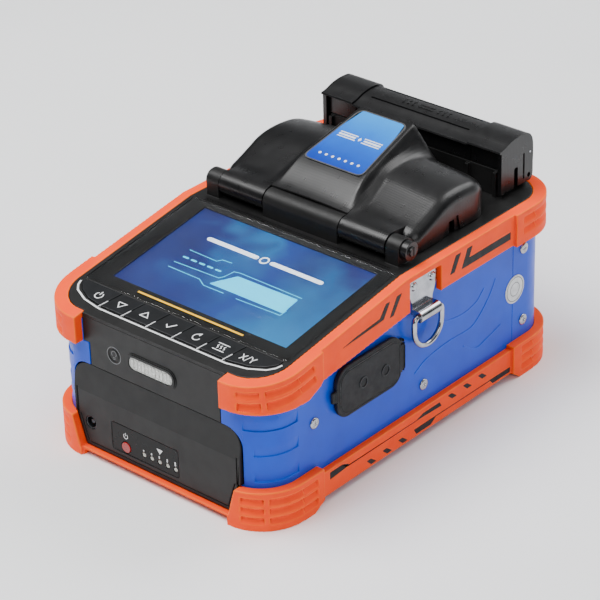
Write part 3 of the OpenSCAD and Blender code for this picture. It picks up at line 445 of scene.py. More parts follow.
def soften(obj, width):
    """Rounds the sharp edges of a CAD piece without touching its stored mesh."""
    weld = obj.modifiers.new("weld", "WELD")
    weld.merge_threshold = 0.002 * MM
    if obj.name in MOULDED:
        cells = obj.modifiers.new("cells", "REMESH")
        cells.mode = "VOXEL"
        cells.voxel_size = 0.4 * MM
        cells.use_smooth_shade = True
        smooth = obj.modifiers.new("smooth", "SMOOTH")
        smooth.factor = 0.5
        smooth.iterations = 2
    else:
        planar = obj.modifiers.new("planar", "DECIMATE")
        planar.decimate_type = "DISSOLVE"
        planar.angle_limit = math.radians(0.6)
        bevel = obj.modifiers.new("bevel", "BEVEL")
        bevel.width = width * MM
        bevel.segments = 2
        bevel.limit_method = "ANGLE"
        bevel.angle_limit = math.radians(34)
        bevel.use_clamp_overlap = False
        bevel.harden_normals = False
        shade = obj.modifiers.new("shade", "WEIGHTED_NORMAL")
        shade.keep_sharp = True
        shade.weight = 90


# ---- mesh helpers ----

FLAT = Matrix.Identity(4)


def new_object(name, data):
    obj = bpy.data.objects.new(name, data)
    bpy.context.scene.collection.objects.link(obj)
    return obj


def mesh_object(name, bm):
    """An object made from a bmesh in millimetres."""
    bmesh.ops.scale(bm, vec=(MM, MM, MM), verts=bm.verts)
    mesh = bpy.data.meshes.new(name)
    bm.to_mesh(mesh)
    bm.free()
    return new_object(name, mesh)


def place_mesh(name, bm, body, slot, sharp=32, material=None):
    """A bmesh as a finished piece that rides on a body, in its slot's material unless told.

    sharp is the angle from which an edge is crisp, in degrees.
    """
    bmesh.ops.recalc_face_normals(bm, faces=bm.faces)
    obj = mesh_object(name, bm)
    obj.data.shade_smooth()
    obj.data.set_sharp_from_angle(angle=math.radians(sharp))
    dress(obj, material or MATERIALS[slot])
    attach(obj, body)
    return obj


def bridge(bm, near, away, closed=True):
    """Faces between two lines of corners, or two loops."""
    for i in range(len(near) if closed else len(near) - 1):
        j = (i + 1) % len(near)
        bm.faces.new((near[i], near[j], away[j], away[i]))


def slab(bm, outline, low, high, turn=FLAT):
    """A closed plate: an outline in a plane, from one height to another, then turned into place."""
    under = [bm.verts.new(turn @ Vector((x, y, low))) for x, y in outline]
    over = [bm.verts.new(turn @ Vector((x, y, high))) for x, y in outline]
    bm.faces.new(over)
    bm.faces.new(list(reversed(under)))
    bridge(bm, under, over)


def arc(centre, radius, start, end, steps=16):
    """Points on an arc, angles in degrees."""
    points = []
    for i in range(steps + 1):
        a = math.radians(start + (end - start) * i / steps)
        points.append((centre[0] + radius * math.cos(a), centre[1] + radius * math.sin(a)))
    return points


def stroke(p, q, width):
    """Outline of a straight stroke with round ends."""
    heading = math.degrees(math.atan2(q[1] - p[1], q[0] - p[0]))
    half = width / 2
    outline = arc(q, half, heading - 90, heading + 90, 6)
    return outline + arc(p, half, heading + 90, heading + 270, 6)


def strokes(points, width):
    """Outlines of the strokes that join the points one after another."""
    return [stroke(p, q, width) for p, q in zip(points, points[1:])]


def arc_band(centre, radius, width, start, end, steps=24):
    """Outline of a curved stroke."""
    outer = arc(centre, radius + width / 2, start, end, steps)
    inner = arc(centre, radius - width / 2, end, start, steps)
    return [outer + inner]


def ring(centre, radius, width):
    return arc_band(centre, radius, width, 0, 180) + arc_band(centre, radius, width, 180, 360)


def rounded(half_x, half_y, radius, centre, steps=6):
    """Outline of a rectangle with round corners."""
    points = []
    for sx, sy, start in ((1, 1, 0), (-1, 1, 90), (-1, -1, 180), (1, -1, 270)):
        corner = (centre[0] + sx * (half_x - radius), centre[1] + sy * (half_y - radius))
        points += arc(corner, radius, start, start + 90, steps)
    return points


def moved(outlines, dx, dy, size=1):
    return [[(size * x + dx, size * y + dy) for x, y in outline] for outline in outlines]


def ribbon(points, width):
    """Outline of an open line of even width, with its corners mitred."""
    left = []
    right = []
    steps = [(Vector(q) - Vector(p)).normalized() for p, q in zip(points, points[1:])]
    for (x, y), before, after in zip(points, steps[:1] + steps, steps + steps[-1:]):
        heading = (before + after).normalized()
        half = width / 2 / max(heading.dot(before), 0.4)
        left.append((x - heading.y * half, y + heading.x * half))
        right.append((x + heading.y * half, y - heading.x * half))
    return left + list(reversed(right))


def fillet(points, radius, steps=5):
    """A closed outline with its corners rounded."""
    outline = []
    for i, corner in enumerate(points):
        corner = Vector(corner)
        start = corner + (Vector(points[i - 1]) - corner).normalized() * radius
        end = corner + (Vector(points[(i + 1) % len(points)]) - corner).normalized() * radius
        for k in range(steps + 1):
            t = k / steps
            outline.append(tuple((1 - t) ** 2 * start + 2 * t * (1 - t) * corner + t * t * end))
    return outline


def frame_plate(bm, outer, inner, low, high, turn):
    """A closed flat frame between two outlines with equally many points."""
    corners = []
    for outline, height in ((outer, low), (outer, high), (inner, high), (inner, low)):
        corners.append([bm.verts.new(turn @ Vector((x, y, height))) for x, y in outline])
    for near, away in zip(corners, corners[1:] + corners[:1]):
        bridge(bm, near, away)


def printed(name, outlines, low, high, turn, body, slot, material=None):
    """Flat artwork with real thickness."""
    bm = bmesh.new()
    for outline in outlines:
        slab(bm, outline, low, high, turn)
    return place_mesh(name, bm, body, slot, material=material)


# ---- planes the artwork lies on ----

SCREEN_TILT = math.radians(8.8)
SCREEN_ORIGIN = Vector((0, -107.4, 77))
ON_SCREEN = Matrix.Translation(SCREEN_ORIGIN) @ Matrix.Rotation(SCREEN_TILT, 4, "X")
# y and z of the label's foot and of its top
LABEL_FOOT = (19.4, 116.4)
LABEL_TOP = (61.5, 127.6)
LABEL_RISE = math.atan2(LABEL_TOP[1] - LABEL_FOOT[1], LABEL_TOP[0] - LABEL_FOOT[0])
ON_LABEL = Matrix.Translation((0, *LABEL_FOOT)) @ Matrix.Rotation(LABEL_RISE, 4, "X")
# x to the right, y upward, height toward the viewer of the front
ON_FRONT = Matrix.Rotation(math.radians(90), 4, "X")
# seen from the right: x toward the back, y upward, height outward
ON_RIGHT = Matrix(((0, 0, 1, 0), (1, 0, 0, 0), (0, 1, 0, 0), (0, 0, 0, 1)))
# the same for the left side, height outward again
ON_LEFT = Matrix(((0, 0, -1, 0), (1, 0, 0, 0), (0, 1, 0, 0), (0, 0, 0, 1)))
SIDES = {"right": ON_RIGHT, "left": ON_LEFT}


# ---- wind cover ----

# The cover's plan: half width, front and rear edge, corner radii; then its lower rim and its wall
COVER_SIDE = 60
COVER_FRONT = 8.3
COVER_REAR = 70
COVER_FRONT_R = 6
COVER_REAR_R = 15
COVER_LOW = 92.6
COVER_WALL = 2.5
# y and z of the hinge's axis, then the radius of its barrels and where along x the outer ones lie
HINGE = (1.9, 99.2)
BARREL_R = 6
BARREL_FROM = 24
BARREL_TO = 52
# rows of faces up the side walls, and in all from the lower rim to the dome at the front
WALL_STEPS = 8
FRONT_STEPS = 24
LABEL_RECESS = 0.2


def curve_through(points):
    """A smooth function of one number that passes through the points."""
    xs = [p[0] for p in points]
    ys = [p[1] for p in points]
    last = len(points) - 1
    slopes = []
    for i in range(last + 1):
        low = max(i - 1, 0)
        high = min(i + 1, last)
        slopes.append((ys[high] - ys[low]) / (xs[high] - xs[low]))

    def value(x):
        i = 0
        while i < last - 1 and x > xs[i + 1]:
            i += 1
        return hermite(xs[i], ys[i], slopes[i], xs[i + 1], ys[i + 1], slopes[i + 1], x)

    return value


def hermite(x0, y0, m0, x1, y1, m1, x):
    span = x1 - x0
    t = (x - x0) / span
    return (
        (2 * t ** 3 - 3 * t ** 2 + 1) * y0
        + (t ** 3 - 2 * t ** 2 + t) * span * m0
        + (3 * t ** 2 - 2 * t ** 3) * y1
        + (t ** 3 - t ** 2) * span * m1
    )


# The dome's middle line from front to rear
DOME = curve_through([
    (4, 106.7), (10, 106.9), (14, 107.8), (20, 110), (26, 112.5), (32, 115), (38, 116.2),
    (46, 116.5), (54, 115.7), (60, 114.3), (66, 111), (70, 107),
])


def smooth_max(a, b, k):
    """The larger of two heights, with the corner between them filled."""
    h = max(k - abs(a - b), 0) / k
    return max(a, b) + h * h * k / 4


def smooth_min(a, b, k):
    return -smooth_max(-a, -b, k)


# The ramp's flat top narrows evenly from its front end to its rear end
RAMP_FRONT = 17
RAMP_REAR = 63
RAMP_WIDE = 20.8
RAMP_NARROW = 16.8


def ramp_half(y):
    """Half width of the flat top of the label ramp."""
    share = (min(max(y, RAMP_FRONT), RAMP_REAR) - RAMP_FRONT) / (RAMP_REAR - RAMP_FRONT)
    return RAMP_WIDE + (RAMP_NARROW - RAMP_WIDE) * share


def ramp_height(x, y):
    """The ramp under the label, cut off by its flanks, its front slope and its rear slope."""
    foot = LABEL_FOOT[1] - LABEL_RECESS
    along = y - LABEL_FOOT[0]
    top = foot + along * math.tan(LABEL_RISE)
    flank = top + (ramp_half(y) - abs(x)) * 2.25
    front = foot + along * 0.75
    rear = LABEL_TOP[1] + (63.6 - y) * 3.3
    return smooth_min(smooth_min(smooth_min(top, flank, 2), front, 3), rear, 5)


def side_fall(x):
    """How far the dome falls away from its middle line."""
    return x * x / 900


def cover_height(x, y):
    dome = DOME(y) - side_fall(x)
    past = min(max((abs(x) - ramp_half(y) - 0.5) / 3, 0), 1)
    return smooth_max(dome, ramp_height(x, y), 3.6 + 5.5 * past)


def cover_half_width(y, inset):
    front_r = COVER_FRONT_R - inset
    rear_r = COVER_REAR_R - inset
    into_front = max(COVER_FRONT + COVER_FRONT_R - y, 0)
    into_rear = max(y - (COVER_REAR - COVER_REAR_R), 0)
    if into_front > 0:
        return COVER_SIDE - COVER_FRONT_R + math.sqrt(max(front_r ** 2 - into_front ** 2, 0))
    return COVER_SIDE - COVER_REAR_R + math.sqrt(max(rear_r ** 2 - into_rear ** 2, 0))


def edge_distance(x, y, inset):
    """How far a point of the plan lies inside the outline."""
    ax = abs(x)
    into_front = COVER_FRONT + COVER_FRONT_R - y
    into_rear = y - (COVER_REAR - COVER_REAR_R)
    over_front = ax - (COVER_SIDE - COVER_FRONT_R)
    over_rear = ax - (COVER_SIDE - COVER_REAR_R)
    if into_front > 0 and over_front > 0:
        return COVER_FRONT_R - inset - math.hypot(into_front, over_front)
    if into_rear > 0 and over_rear > 0:
        return COVER_REAR_R - inset - math.hypot(into_rear, over_rear)
    distance = min(COVER_SIDE - inset - ax, COVER_REAR - inset - y)
    if ax > BARREL_TO - 0.01 or inset > 0:
        distance = min(distance, y - COVER_FRONT - inset)
    return distance


def shoulder(distance, radius):
    """How far a rounded edge of that radius falls, at a distance inside the outline."""
    inward = radius - min(max(distance, 0), radius)
    return radius - math.sqrt(max(radius ** 2 - inward ** 2, 0))


def top_point(x, y, inset):
    radius = 2.5 if inset else 5
    fall = shoulder(edge_distance(x, y, inset), radius)
    return Vector((x, y, cover_height(x, y) - inset - fall))


def columns():
    """Fixed columns of the right half, then the share of the outer strip each last column has."""
    inner = [0, 3, 6, 9, 12, 14, 15.4]
    inner += [16.2 + 0.65 * i for i in range(12)]
    middle = [BARREL_FROM + 1.0 * i for i in range(11)]
    middle += [36.25, 38.5, 40.75, 43, 45.25, 47.5, 49.75, BARREL_TO]
    outer = [0, 0.15, 0.3] + [0.3 + 0.7 * math.sin(math.radians(a)) for a in range(12, 97, 12)]
    outer[-1] = 1
    return inner + [BARREL_FROM], middle, outer


def column_x(kind, value, y, inset):
    """Where a column crosses the row at y."""
    edge = cover_half_width(y, inset)
    squeeze = min(cover_half_width(max(y, 40), 0) / COVER_SIDE, 1)
    if kind == "outer":
        start = BARREL_TO * squeeze
        return start + value * (edge - start)
    taper = (RAMP_WIDE - ramp_half(y)) * max(0, 1 - abs(value - RAMP_WIDE) / 16)
    return (value - taper) * squeeze if value < BARREL_TO else value * squeeze


def lip_profile(x, join_y, join_z, join_slope):
    """Front wall, then the lip that reaches over the middle barrel."""
    rise = (104.7 - COVER_LOW) / WALL_STEPS
    points = [(COVER_FRONT, COVER_LOW + rise * i) for i in range(WALL_STEPS + 1)]
    points += [(7, 104.9), (5.8, 105.1), (4.6, 105.2)]
    fall = side_fall(x)
    points += [(3.7, 105.4 - fall), (3.4, 105.9 - fall), (3.7, 106.45 - fall), (4.4, 106.7 - fall)]
    for i in range(1, 10):
        y = 4.4 + (join_y - 4.4) * i / 9
        points.append((y, hermite(4.4, 106.7 - fall, 0.3, join_y, join_z, join_slope, y)))
    return points


def barrel_profile(join_y, join_z, join_slope):
    """Under the barrel, round its front and back over its top to the dome."""
    points = [(COVER_FRONT, COVER_LOW), (5, 92.7)]
    last_angle = 90 + 5.7
    for i in range(15):
        a = math.radians(270 - (270 - last_angle) * i / 14)
        points.append((HINGE[0] + BARREL_R * math.cos(a), HINGE[1] + BARREL_R * math.sin(a)))
    y0, z0 = points[-1]
    for i in range(1, 9):
        y = y0 + (join_y - y0) * i / 8
        points.append((y, hermite(y0, z0, 0.1, join_y, join_z, join_slope, y)))
    return points


def front_column(kind, value, sign, inset):
    """The first points of a column, from the lower rim up to where the dome proper begins."""
    join_y = COVER_FRONT + COVER_FRONT_R
    if kind == "outer" or inset:
        front = COVER_FRONT + inset
        rows = [front] * (WALL_STEPS + 1)
        for i in range(1, FRONT_STEPS - WALL_STEPS + 1):
            a = math.radians(90 * i / (FRONT_STEPS - WALL_STEPS))
            rows.append(join_y - (join_y - front) * math.cos(a))
        points = []
        for i, y in enumerate(rows):
            point = top_point(column_x(kind, value, y, inset), y, inset)
            if i < WALL_STEPS:
                point.z = COVER_LOW + (point.z - COVER_LOW) * i / WALL_STEPS
            points.append(point)
    else:
        x = column_x(kind, value, join_y, 0)
        z = cover_height(x, join_y)
        slope = (cover_height(x, join_y + 0.5) - z) / 0.5
        lip = kind == "inner"
        pairs = lip_profile(x, join_y, z, slope) if lip else barrel_profile(join_y, z, slope)
        points = [Vector((x, y, z)) for y, z in pairs]
    return [Vector((sign * p.x, p.y, p.z)) for p in points]


def dome_rows(inset):
    join_y = COVER_FRONT + COVER_FRONT_R
    turn_y = COVER_REAR - COVER_REAR_R
    rows = [join_y + (turn_y - join_y) * i / 34 for i in range(1, 35)]
    reach = COVER_REAR_R - inset
    rows += [turn_y + reach * math.sin(math.radians(a)) for a in range(6, 91, 6)]
    return rows


def cover_sheet(bm, inset):
    """One skin of the cover; returns its grid of corners and its lower rim's, in order."""
    inner, middle, outer = columns()
    half = [("inner", v) for v in inner]
    half += [("middle", v) for v in middle]
    half += [("outer", v) for v in outer]
    lines = [(kind, value, -1) for kind, value in reversed(half[1:])]
    lines += [(kind, value, 1) for kind, value in half]
    grid = []
    for kind, value, sign in lines:
        points = front_column(kind, value, sign, inset)
        for y in dome_rows(inset):
            x = column_x(kind, value, y, inset)
            point = top_point(x, y, inset)
            points.append(Vector((sign * point.x, point.y, point.z)))
        grid.append([bm.verts.new(p) for p in points])
    for left, right in zip(grid, grid[1:]):
        bridge(bm, left, right, closed=False)
    # side and rear walls hang from the outline of the dome
    outline = grid[-1][WALL_STEPS:] + [line[-1] for line in reversed(grid[:-1])]
    outline += list(reversed(grid[0][WALL_STEPS:-1]))
    levels = [outline]
    for i in range(1, WALL_STEPS + 1):
        share = 1 - i / WALL_STEPS
        levels.append([
            bm.verts.new((v.co.x, v.co.y, COVER_LOW + (v.co.z - COVER_LOW) * share))
            for v in outline
        ])
    for over, under in zip(levels, levels[1:]):
        bridge(bm, over, under, closed=False)
    return [line[0] for line in grid] + levels[-1]


def cut_away(obj, cutters, joined=False):
    """Cuts closed meshes out of a piece for good; joined first unites its overlapping parts."""
    for tool in cutters:
        cut = obj.modifiers.new("cut", "BOOLEAN")
        cut.operation = "DIFFERENCE"
        cut.solver = "EXACT"
        cut.use_self = joined
        cut.object = tool
    bpy.context.view_layer.update()
    shaped = obj.evaluated_get(bpy.context.evaluated_depsgraph_get())
    mesh = bpy.data.meshes.new_from_object(shaped)
    obj.modifiers.clear()
    obj.data = mesh
    for tool in cutters:
        bpy.data.objects.remove(tool)


def cutter(outline, start, end, turn=ON_RIGHT):
    """A closed plate to cut away; its ends may come in either order."""
    low, high = sorted((start, end))
    bm = bmesh.new()
    slab(bm, outline, low, high, turn)
    bmesh.ops.recalc_face_normals(bm, faces=bm.faces)
    return mesh_object("cutter", bm)


def wind_cover():
    bm = bmesh.new()
    outside = cover_sheet(bm, 0)
    inside = cover_sheet(bm, COVER_WALL)
    bridge(bm, outside, inside)
    bmesh.ops.remove_doubles(bm, verts=bm.verts, dist=0.004)
    bmesh.ops.dissolve_degenerate(bm, edges=bm.edges, dist=0.003)
    cover = place_mesh("wind_cover_shell", bm, "wind_cover", "gloss_black", 38)
    # bore for the pin, then a finger notch and a fibre slot in each side wall
    cutters = [cutter(arc(HINGE, 1.55, 0, 345, 23), -70, 70)]
    notch = [(27.6, 90), (35.2, 100.7), (42, 100.7), (44, 90)]
    slot = [(36, 90), (40, 90), (40, 99), (36, 99)]
    for side in (-1, 1):
        cutters.append(cutter(notch, side * 59.2, side * 66))
        cutters.append(cutter(slot, side * 52, side * 66))
    cut_away(cover, cutters)
    cover.data.set_sharp_from_angle(angle=math.radians(38))
    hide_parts("wind_cover")


# ---- screen and keys ----

KEY_X = [-46.8, -32.3, -16.9, -0.9, 15.6, 30.6, 46.8]
KEY_EDGE = [-39.5, -24.6, -8.9, 7.3, 23.1, 38.7]
KEY_ROW = 13.9
# Heights square to the screen, from just in the display's face to just over it
PICTURE_LOW = -2.28
PICTURE_TOP = -2.22
PICTURE_LINES = [
    [(-36.3, 65.7), (-18.6, 65.3), (-16.9, 67.5), (-11.1, 67.9)],
    [(-36.5, 54.7), (-8.7, 55.6), (-7, 57.8), (-5.6, 63.1), (-2, 63.8), (36.3, 63.4)],
    [(-36.3, 50.4), (-16, 50.2), (-11.1, 47.5), (1.5, 47.6)],
    [(9.4, 47.4), (35.9, 48.2), (36.4, 52.4)],
]


def screen_pieces():
    """A plain start picture on the display, without words."""
    white = ink("white_glow", rgb(214, 226, 236), rgb(240, 246, 250), 1.2)
    cyan = ink("cyan_glow", rgb(0, 190, 235), rgb(20, 214, 250), 1.0)
    amber = ink("amber_print", rgb(236, 176, 20), rgb(250, 200, 40))
    # two fibres that meet in a ring
    middle = (1, 77.4)
    fibre = ring(middle, 2.2, 0.8)
    for side in (-1, 1):
        ends = [(middle[0] + side * reach, middle[1]) for reach in (35, 5)]
        fibre += strokes(ends, 2.6)
    low = PICTURE_LOW
    high = PICTURE_TOP
    printed("screen_title", fibre, low, high, ON_SCREEN, "case", "display", white)

    # a bright panel, thin lines round it and a row of dashes
    panel = [fillet([(-9.8, 50), (-1.5, 61.3), (35.5, 61.7), (36, 50.1)], 1)]
    panel += [ribbon(line, 0.35) for line in PICTURE_LINES]
    panel += [stroke((-35 + 5.2 * i, 60), (-32.4 + 5.2 * i, 60), 1.1) for i in range(5)]
    printed("screen_lines", panel, low + 0.01, high, ON_SCREEN, "case", "display", cyan)

    # a bar printed on the glass below the picture
    accent = [ribbon([(-33, 26.2), (33, 26.2)], 1.1)]
    printed("screen_accent", accent, -0.14, -0.04, ON_SCREEN, "case", "screen_glass", amber)


def heat_wave(dx):
    points = [(dx + 0.35 * math.sin(i * 1.1), -0.9 + 0.3 * i) for i in range(7)]
    return ribbon(points, 0.34)


def key_signs():
    """Plain signs for the seven keys, drawn round the origin."""
    power = arc_band((0, 0), 1.6, 0.42, 125, 415) + [stroke((0, 0.5), (0, 2.1), 0.42)]
    down = [ribbon([(-1.9, 1), (1.9, 1), (0, -1.7), (-1.9, 1)], 0.4)]
    up = [ribbon([(-1.9, -1), (1.9, -1), (0, 1.7), (-1.9, -1)], 0.4)]
    tick = [ribbon([(-1.8, 0.1), (-0.5, -1.3), (1.9, 1.5)], 0.5)]
    again = arc_band((0, 0), 1.6, 0.42, 70, 350) + [[(0.8, 2.5), (0.6, 0.8), (-0.8, 1.7)]]
    heat = strokes([(-2.5, -1.8), (2.5, -1.8)], 0.4) + strokes([(-2.5, 1.8), (2.5, 1.8)], 0.4)
    heat += [heat_wave(dx) for dx in (-1.5, 0, 1.5)]
    # X / Y, for the two directions of view
    views = strokes([(-3, -1.3), (-1.1, 1.3)], 0.4)
    views += strokes([(-3, 1.3), (-1.1, -1.3)], 0.4)
    views += strokes([(-0.5, -1.6), (0.6, 1.6)], 0.3)
    views += strokes([(1.1, 1.3), (2.1, 0), (3.1, 1.3)], 0.4)
    views += strokes([(2.1, 0), (2.1, -1.3)], 0.4)
    return [power, down, up, tick, again, heat, views]


def key_row_line(material):
    """The line round the front of the key row, and slanted fins between the keys."""
    half = [(63.2, 18.5), (62.1, 15.4), (59.2, 12.2), (51, 8.4), (40, 6.5)]
    line = [(-x, y) for x, y in half] + list(reversed(half))
    bm = bmesh.new()
    slab(bm, ribbon(line, 0.9), -0.05, 0.05, ON_SCREEN)
    for x in KEY_EDGE:
        fin = [(x - 1.7, 7.2), (x - 0.3, 12.8)]
        slab(bm, ribbon(fin, 0.4), -1.3, 0.3, ON_SCREEN)
    place_mesh("key_row_line", bm, "case", "key_plastic", material=material)


def key_pieces():
    white = ink("white_print", rgb(206, 208, 210), rgb(232, 233, 234))
    names = ["power", "down", "up", "confirm", "reset", "heat", "view"]
    for name, x, sign in zip(names, KEY_X, key_signs()):
        body = f"key_{name}"
        outlines = moved(sign, x, KEY_ROW, 1.3)
        printed(f"{body}_sign", outlines, 0.2, 0.29, ON_SCREEN, body, "key_plastic", white)
    key_row_line(white)


# ---- heater lids ----

# y and z of the hinge pin, then where along x the lids end
HEATER_PIN = (102.5, 97.2)
KNUCKLE_R = 3.2
LID_EDGE = 36
CLAMP_IN = 36.4
CLAMP_OUT = 56.6
END_WALL = 2.2
LID_LOW = 106.6
# Outside of the lids seen from the right, from the front lip over the top and down the rear
LID_CURVE = [
    (79.2, 117.9), (81.5, 118.2), (84, 118.9), (86.5, 119.8), (89, 120.4), (93, 120.9),
    (97, 120.9), (100.9, 120.4), (103.8, 118.4), (105.5, 114.8), (105.9, 108.6), (105.6, 102.2),
    (104.6, 97), (103.6, 94.4),
]
# The last corner of the shell's outside, and how finely the curve is drawn between corners
REAR_FOOT = 11
CURVE_STEPS = 4
# Inside of the lids, back from the rear foot to the front lip
LID_INSIDE = [
    (103.6, 102.2), (103.7, 108.6), (103.2, 114), (101.9, 116.6), (100, 118.1), (97, 118.7),
    (93, 118.7), (89, 118.2), (86.5, 117.6), (84.6, 116.6), (84.6, LID_LOW), (82.4, LID_LOW),
    (82.4, 116.1), (79.6, 116.5), (78.8, 117.1),
]


def spline(points, steps):
    """A smooth open line through the points."""
    line = []
    for i in range(len(points) - 1):
        before = Vector(points[max(i - 1, 0)])
        start = Vector(points[i])
        end = Vector(points[i + 1])
        after = Vector(points[min(i + 2, len(points) - 1)])
        for k in range(steps):
            t = k / steps
            place = 2 * start + (end - before) * t
            place += (2 * before - 5 * start + 4 * end - after) * t ** 2
            place += (3 * start - before - 3 * end + after) * t ** 3
            line.append(tuple(place / 2))
    return line + [points[-1]]


def lowered(points, drop):
    """The same profile for a lid that lies lower; its bottom edges stay where they are."""
    profile = []
    for y, z in points:
        back = drop if y > 100 else 0
        down = drop if z > LID_LOW else 0
        profile.append((y - back, z - down))
    return profile


def clamp_end(bm, outer, curve):
    """The outer end wall of a clamp reaches down beside the base; returns what is cut out of it."""
    side = math.copysign(1, outer)
    low, high = sorted((outer - side * END_WALL, outer))
    end = [(80.2, 94.4), (80.2, 116.6)] + curve[2:]
    slab(bm, end, low, high, ON_RIGHT)
    past = outer * 1.1
    cheek = [(98.5, 90), (118, 90), (118, 106.2), (98.5, 106.2)]
    entry = fillet([(90.5, 90), (93.5, 90), (93.5, 105), (90.5, 105)], 1.2)
    groove = fillet([(97.6, 96.4), (98.9, 96.4), (98.9, 110.4), (97.6, 110.4)], 0.5)
    return [
        cutter(cheek, side * 50.6, side * 53),
        cutter(entry, side * 30, past),
        cutter(groove, outer - side * 0.7, past),
    ]


def lid_cuts(x0, x1):
    """The fibre's way in through both end walls, and two long grooves along the top."""
    entry = [(88, 90), (96, 90), (96, 110), (88, 110)]
    cuts = [cutter(entry, x0 - 1, x1 + 1)]
    reach = x1 - 5
    for y0, y1, floor in ((87.4, 88.4, 118.2), (98.6, 99.5, 119.2)):
        line = fillet([(-reach, y0), (reach, y0), (reach, y1), (-reach, y1)], 0.4)
        cuts.append(cutter(line, floor, 125, FLAT))
    return cuts


def round_edges(piece):
    bevel = piece.modifiers.new("bevel", "BEVEL")
    bevel.width = 0.45 * MM
    bevel.segments = 3
    bevel.limit_method = "ANGLE"
    bevel.angle_limit = math.radians(40)
    bevel.harden_normals = False


def lid_piece(name, x0, x1, drop, clamp):
    """One lid: a curved shell, end walls and a hinge barrel, with its holes cut out."""
    bm = bmesh.new()
    curve = spline(LID_CURVE, CURVE_STEPS)
    shell = curve[:REAR_FOOT * CURVE_STEPS + 1]
    slab(bm, lowered(shell + LID_INSIDE, drop), x0, x1, ON_RIGHT)
    wall = [(82.6, LID_LOW), (82.6, 117.8)] + [p for p in shell if p[0] > 84] + [(103.8, LID_LOW)]
    for start in (x0 + 0.05, x1 - END_WALL - 0.05):
        slab(bm, lowered(wall, drop + 0.1), start, start + END_WALL, ON_RIGHT)
    pin_y, pin_z = HEATER_PIN
    rear = 105.8 - drop
    barrel = arc(HEATER_PIN, KNUCKLE_R, 90, 360, 24)
    barrel += [(rear, pin_z + 0.6), (rear, 102.9), (pin_y + 0.2, 102.9)]
    slab(bm, barrel, x0 + 0.02, x1 - 0.02, ON_RIGHT)
    cutters = [cutter(arc(HEATER_PIN, 1.27, 0, 345, 23), x0 - 1, x1 + 1)]
    if clamp:
        cutters += clamp_end(bm, max(x0, x1, key=abs), curve)
    else:
        cutters += lid_cuts(x0, x1)
    piece = place_mesh(f"{name}_shell", bm, name, "gloss_black", 30)
    cut_away(piece, cutters, joined=True)
    piece.data.set_sharp_from_angle(angle=math.radians(30))
    round_edges(piece)
    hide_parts(name)


def heater_sign():
    """Raised heat waves either side of two bars, in place of words."""
    sign = []
    for x in (-14, -11, -8, 8, 11, 14):
        wave = [(x + 0.5 * math.sin(i * 0.9), 91.4 + 0.45 * i) for i in range(10)]
        sign.append(ribbon(wave, 0.5))
    for y in (92.2, 94.6):
        sign.append(ribbon([(-4.5, y), (4.5, y)], 0.5))
    printed("heater_sign", sign, 119.9, 120.35, FLAT, "heater_lid", "gloss_black")


def heater_pieces():
    lid_piece("heater_lid", -LID_EDGE, LID_EDGE, drop=0.8, clamp=False)
    lid_piece("heater_clamp_right", CLAMP_IN, CLAMP_OUT, drop=0, clamp=True)
    lid_piece("heater_clamp_left", -CLAMP_OUT, -CLAMP_IN, drop=0, clamp=True)
    heater_sign()
    # end of the spring pin on each outer end wall
    pin = [arc((103.2, 109.5), 0.55, 0, 330, 11)]
    low = CLAMP_OUT - 0.4
    high = CLAMP_OUT + 0.12
    for side, turn in SIDES.items():
        body = f"heater_clamp_{side}"
        printed(f"spring_pin_{side}", pin, low, high, turn, body, "bright_metal")


# ---- front panel and battery ----

# How far forward the panel and the battery's label lie, and x and z of what sits on them
FRONT = 107.2
BATTERY_LABEL = 108.3
LAMP_MIDDLE = (-1.6, 61.2)
LED_X = [-8.5, -3.4, 1.6, 6.7, 11.8]
BUTTON_X = -20


def lamp_frame():
    bm = bmesh.new()
    outer = rounded(15.9, 5.3, 5, LAMP_MIDDLE)
    edge = rounded(15.2, 4.6, 4.4, LAMP_MIDDLE)
    inner = rounded(13.9, 3.4, 3.2, LAMP_MIDDLE)
    frame_plate(bm, outer, inner, FRONT - 1, FRONT + 0.35, ON_FRONT)
    frame_plate(bm, edge, inner, FRONT + 0.3, FRONT + 0.8, ON_FRONT)
    place_mesh("lamp_frame", bm, "case", "black_plastic")


def lamp_lens_piece():
    """Lens with upright flutes on its face."""
    bm = bmesh.new()
    slab(bm, rounded(13.8, 3.3, 3.1, LAMP_MIDDLE), FRONT - 1.8, FRONT + 0.2, ON_FRONT)
    for i in range(11):
        middle = (LAMP_MIDDLE[0] - 11.5 + 2.3 * i, LAMP_MIDDLE[1])
        slab(bm, rounded(0.75, 2.4, 0.7, middle, 4), FRONT + 0.1, FRONT + 0.45, ON_FRONT)
    lens = place_mesh("lamp_lens_piece", bm, "case", "lamp_glass")
    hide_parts("lamp_lens")


def lamp_sign():
    """A bulb in a ring, drawn round the origin."""
    grey = ink("grey_print", rgb(84, 86, 88), rgb(104, 106, 108))
    bulb = ring((0, 0), 4.3, 0.4)
    bulb += arc_band((0, 0.8), 1.5, 0.35, -50, 230)
    bulb += strokes([(-0.7, -1.2), (0.7, -1.2)], 0.35)
    bulb += strokes([(-0.6, -2), (0.6, -2)], 0.35)
    low = FRONT - 0.02
    high = FRONT + 0.06
    sign = moved(bulb, -25.3, 60.8)
    printed("lamp_sign", sign, low, high, ON_FRONT, "case", "black_plastic", grey)


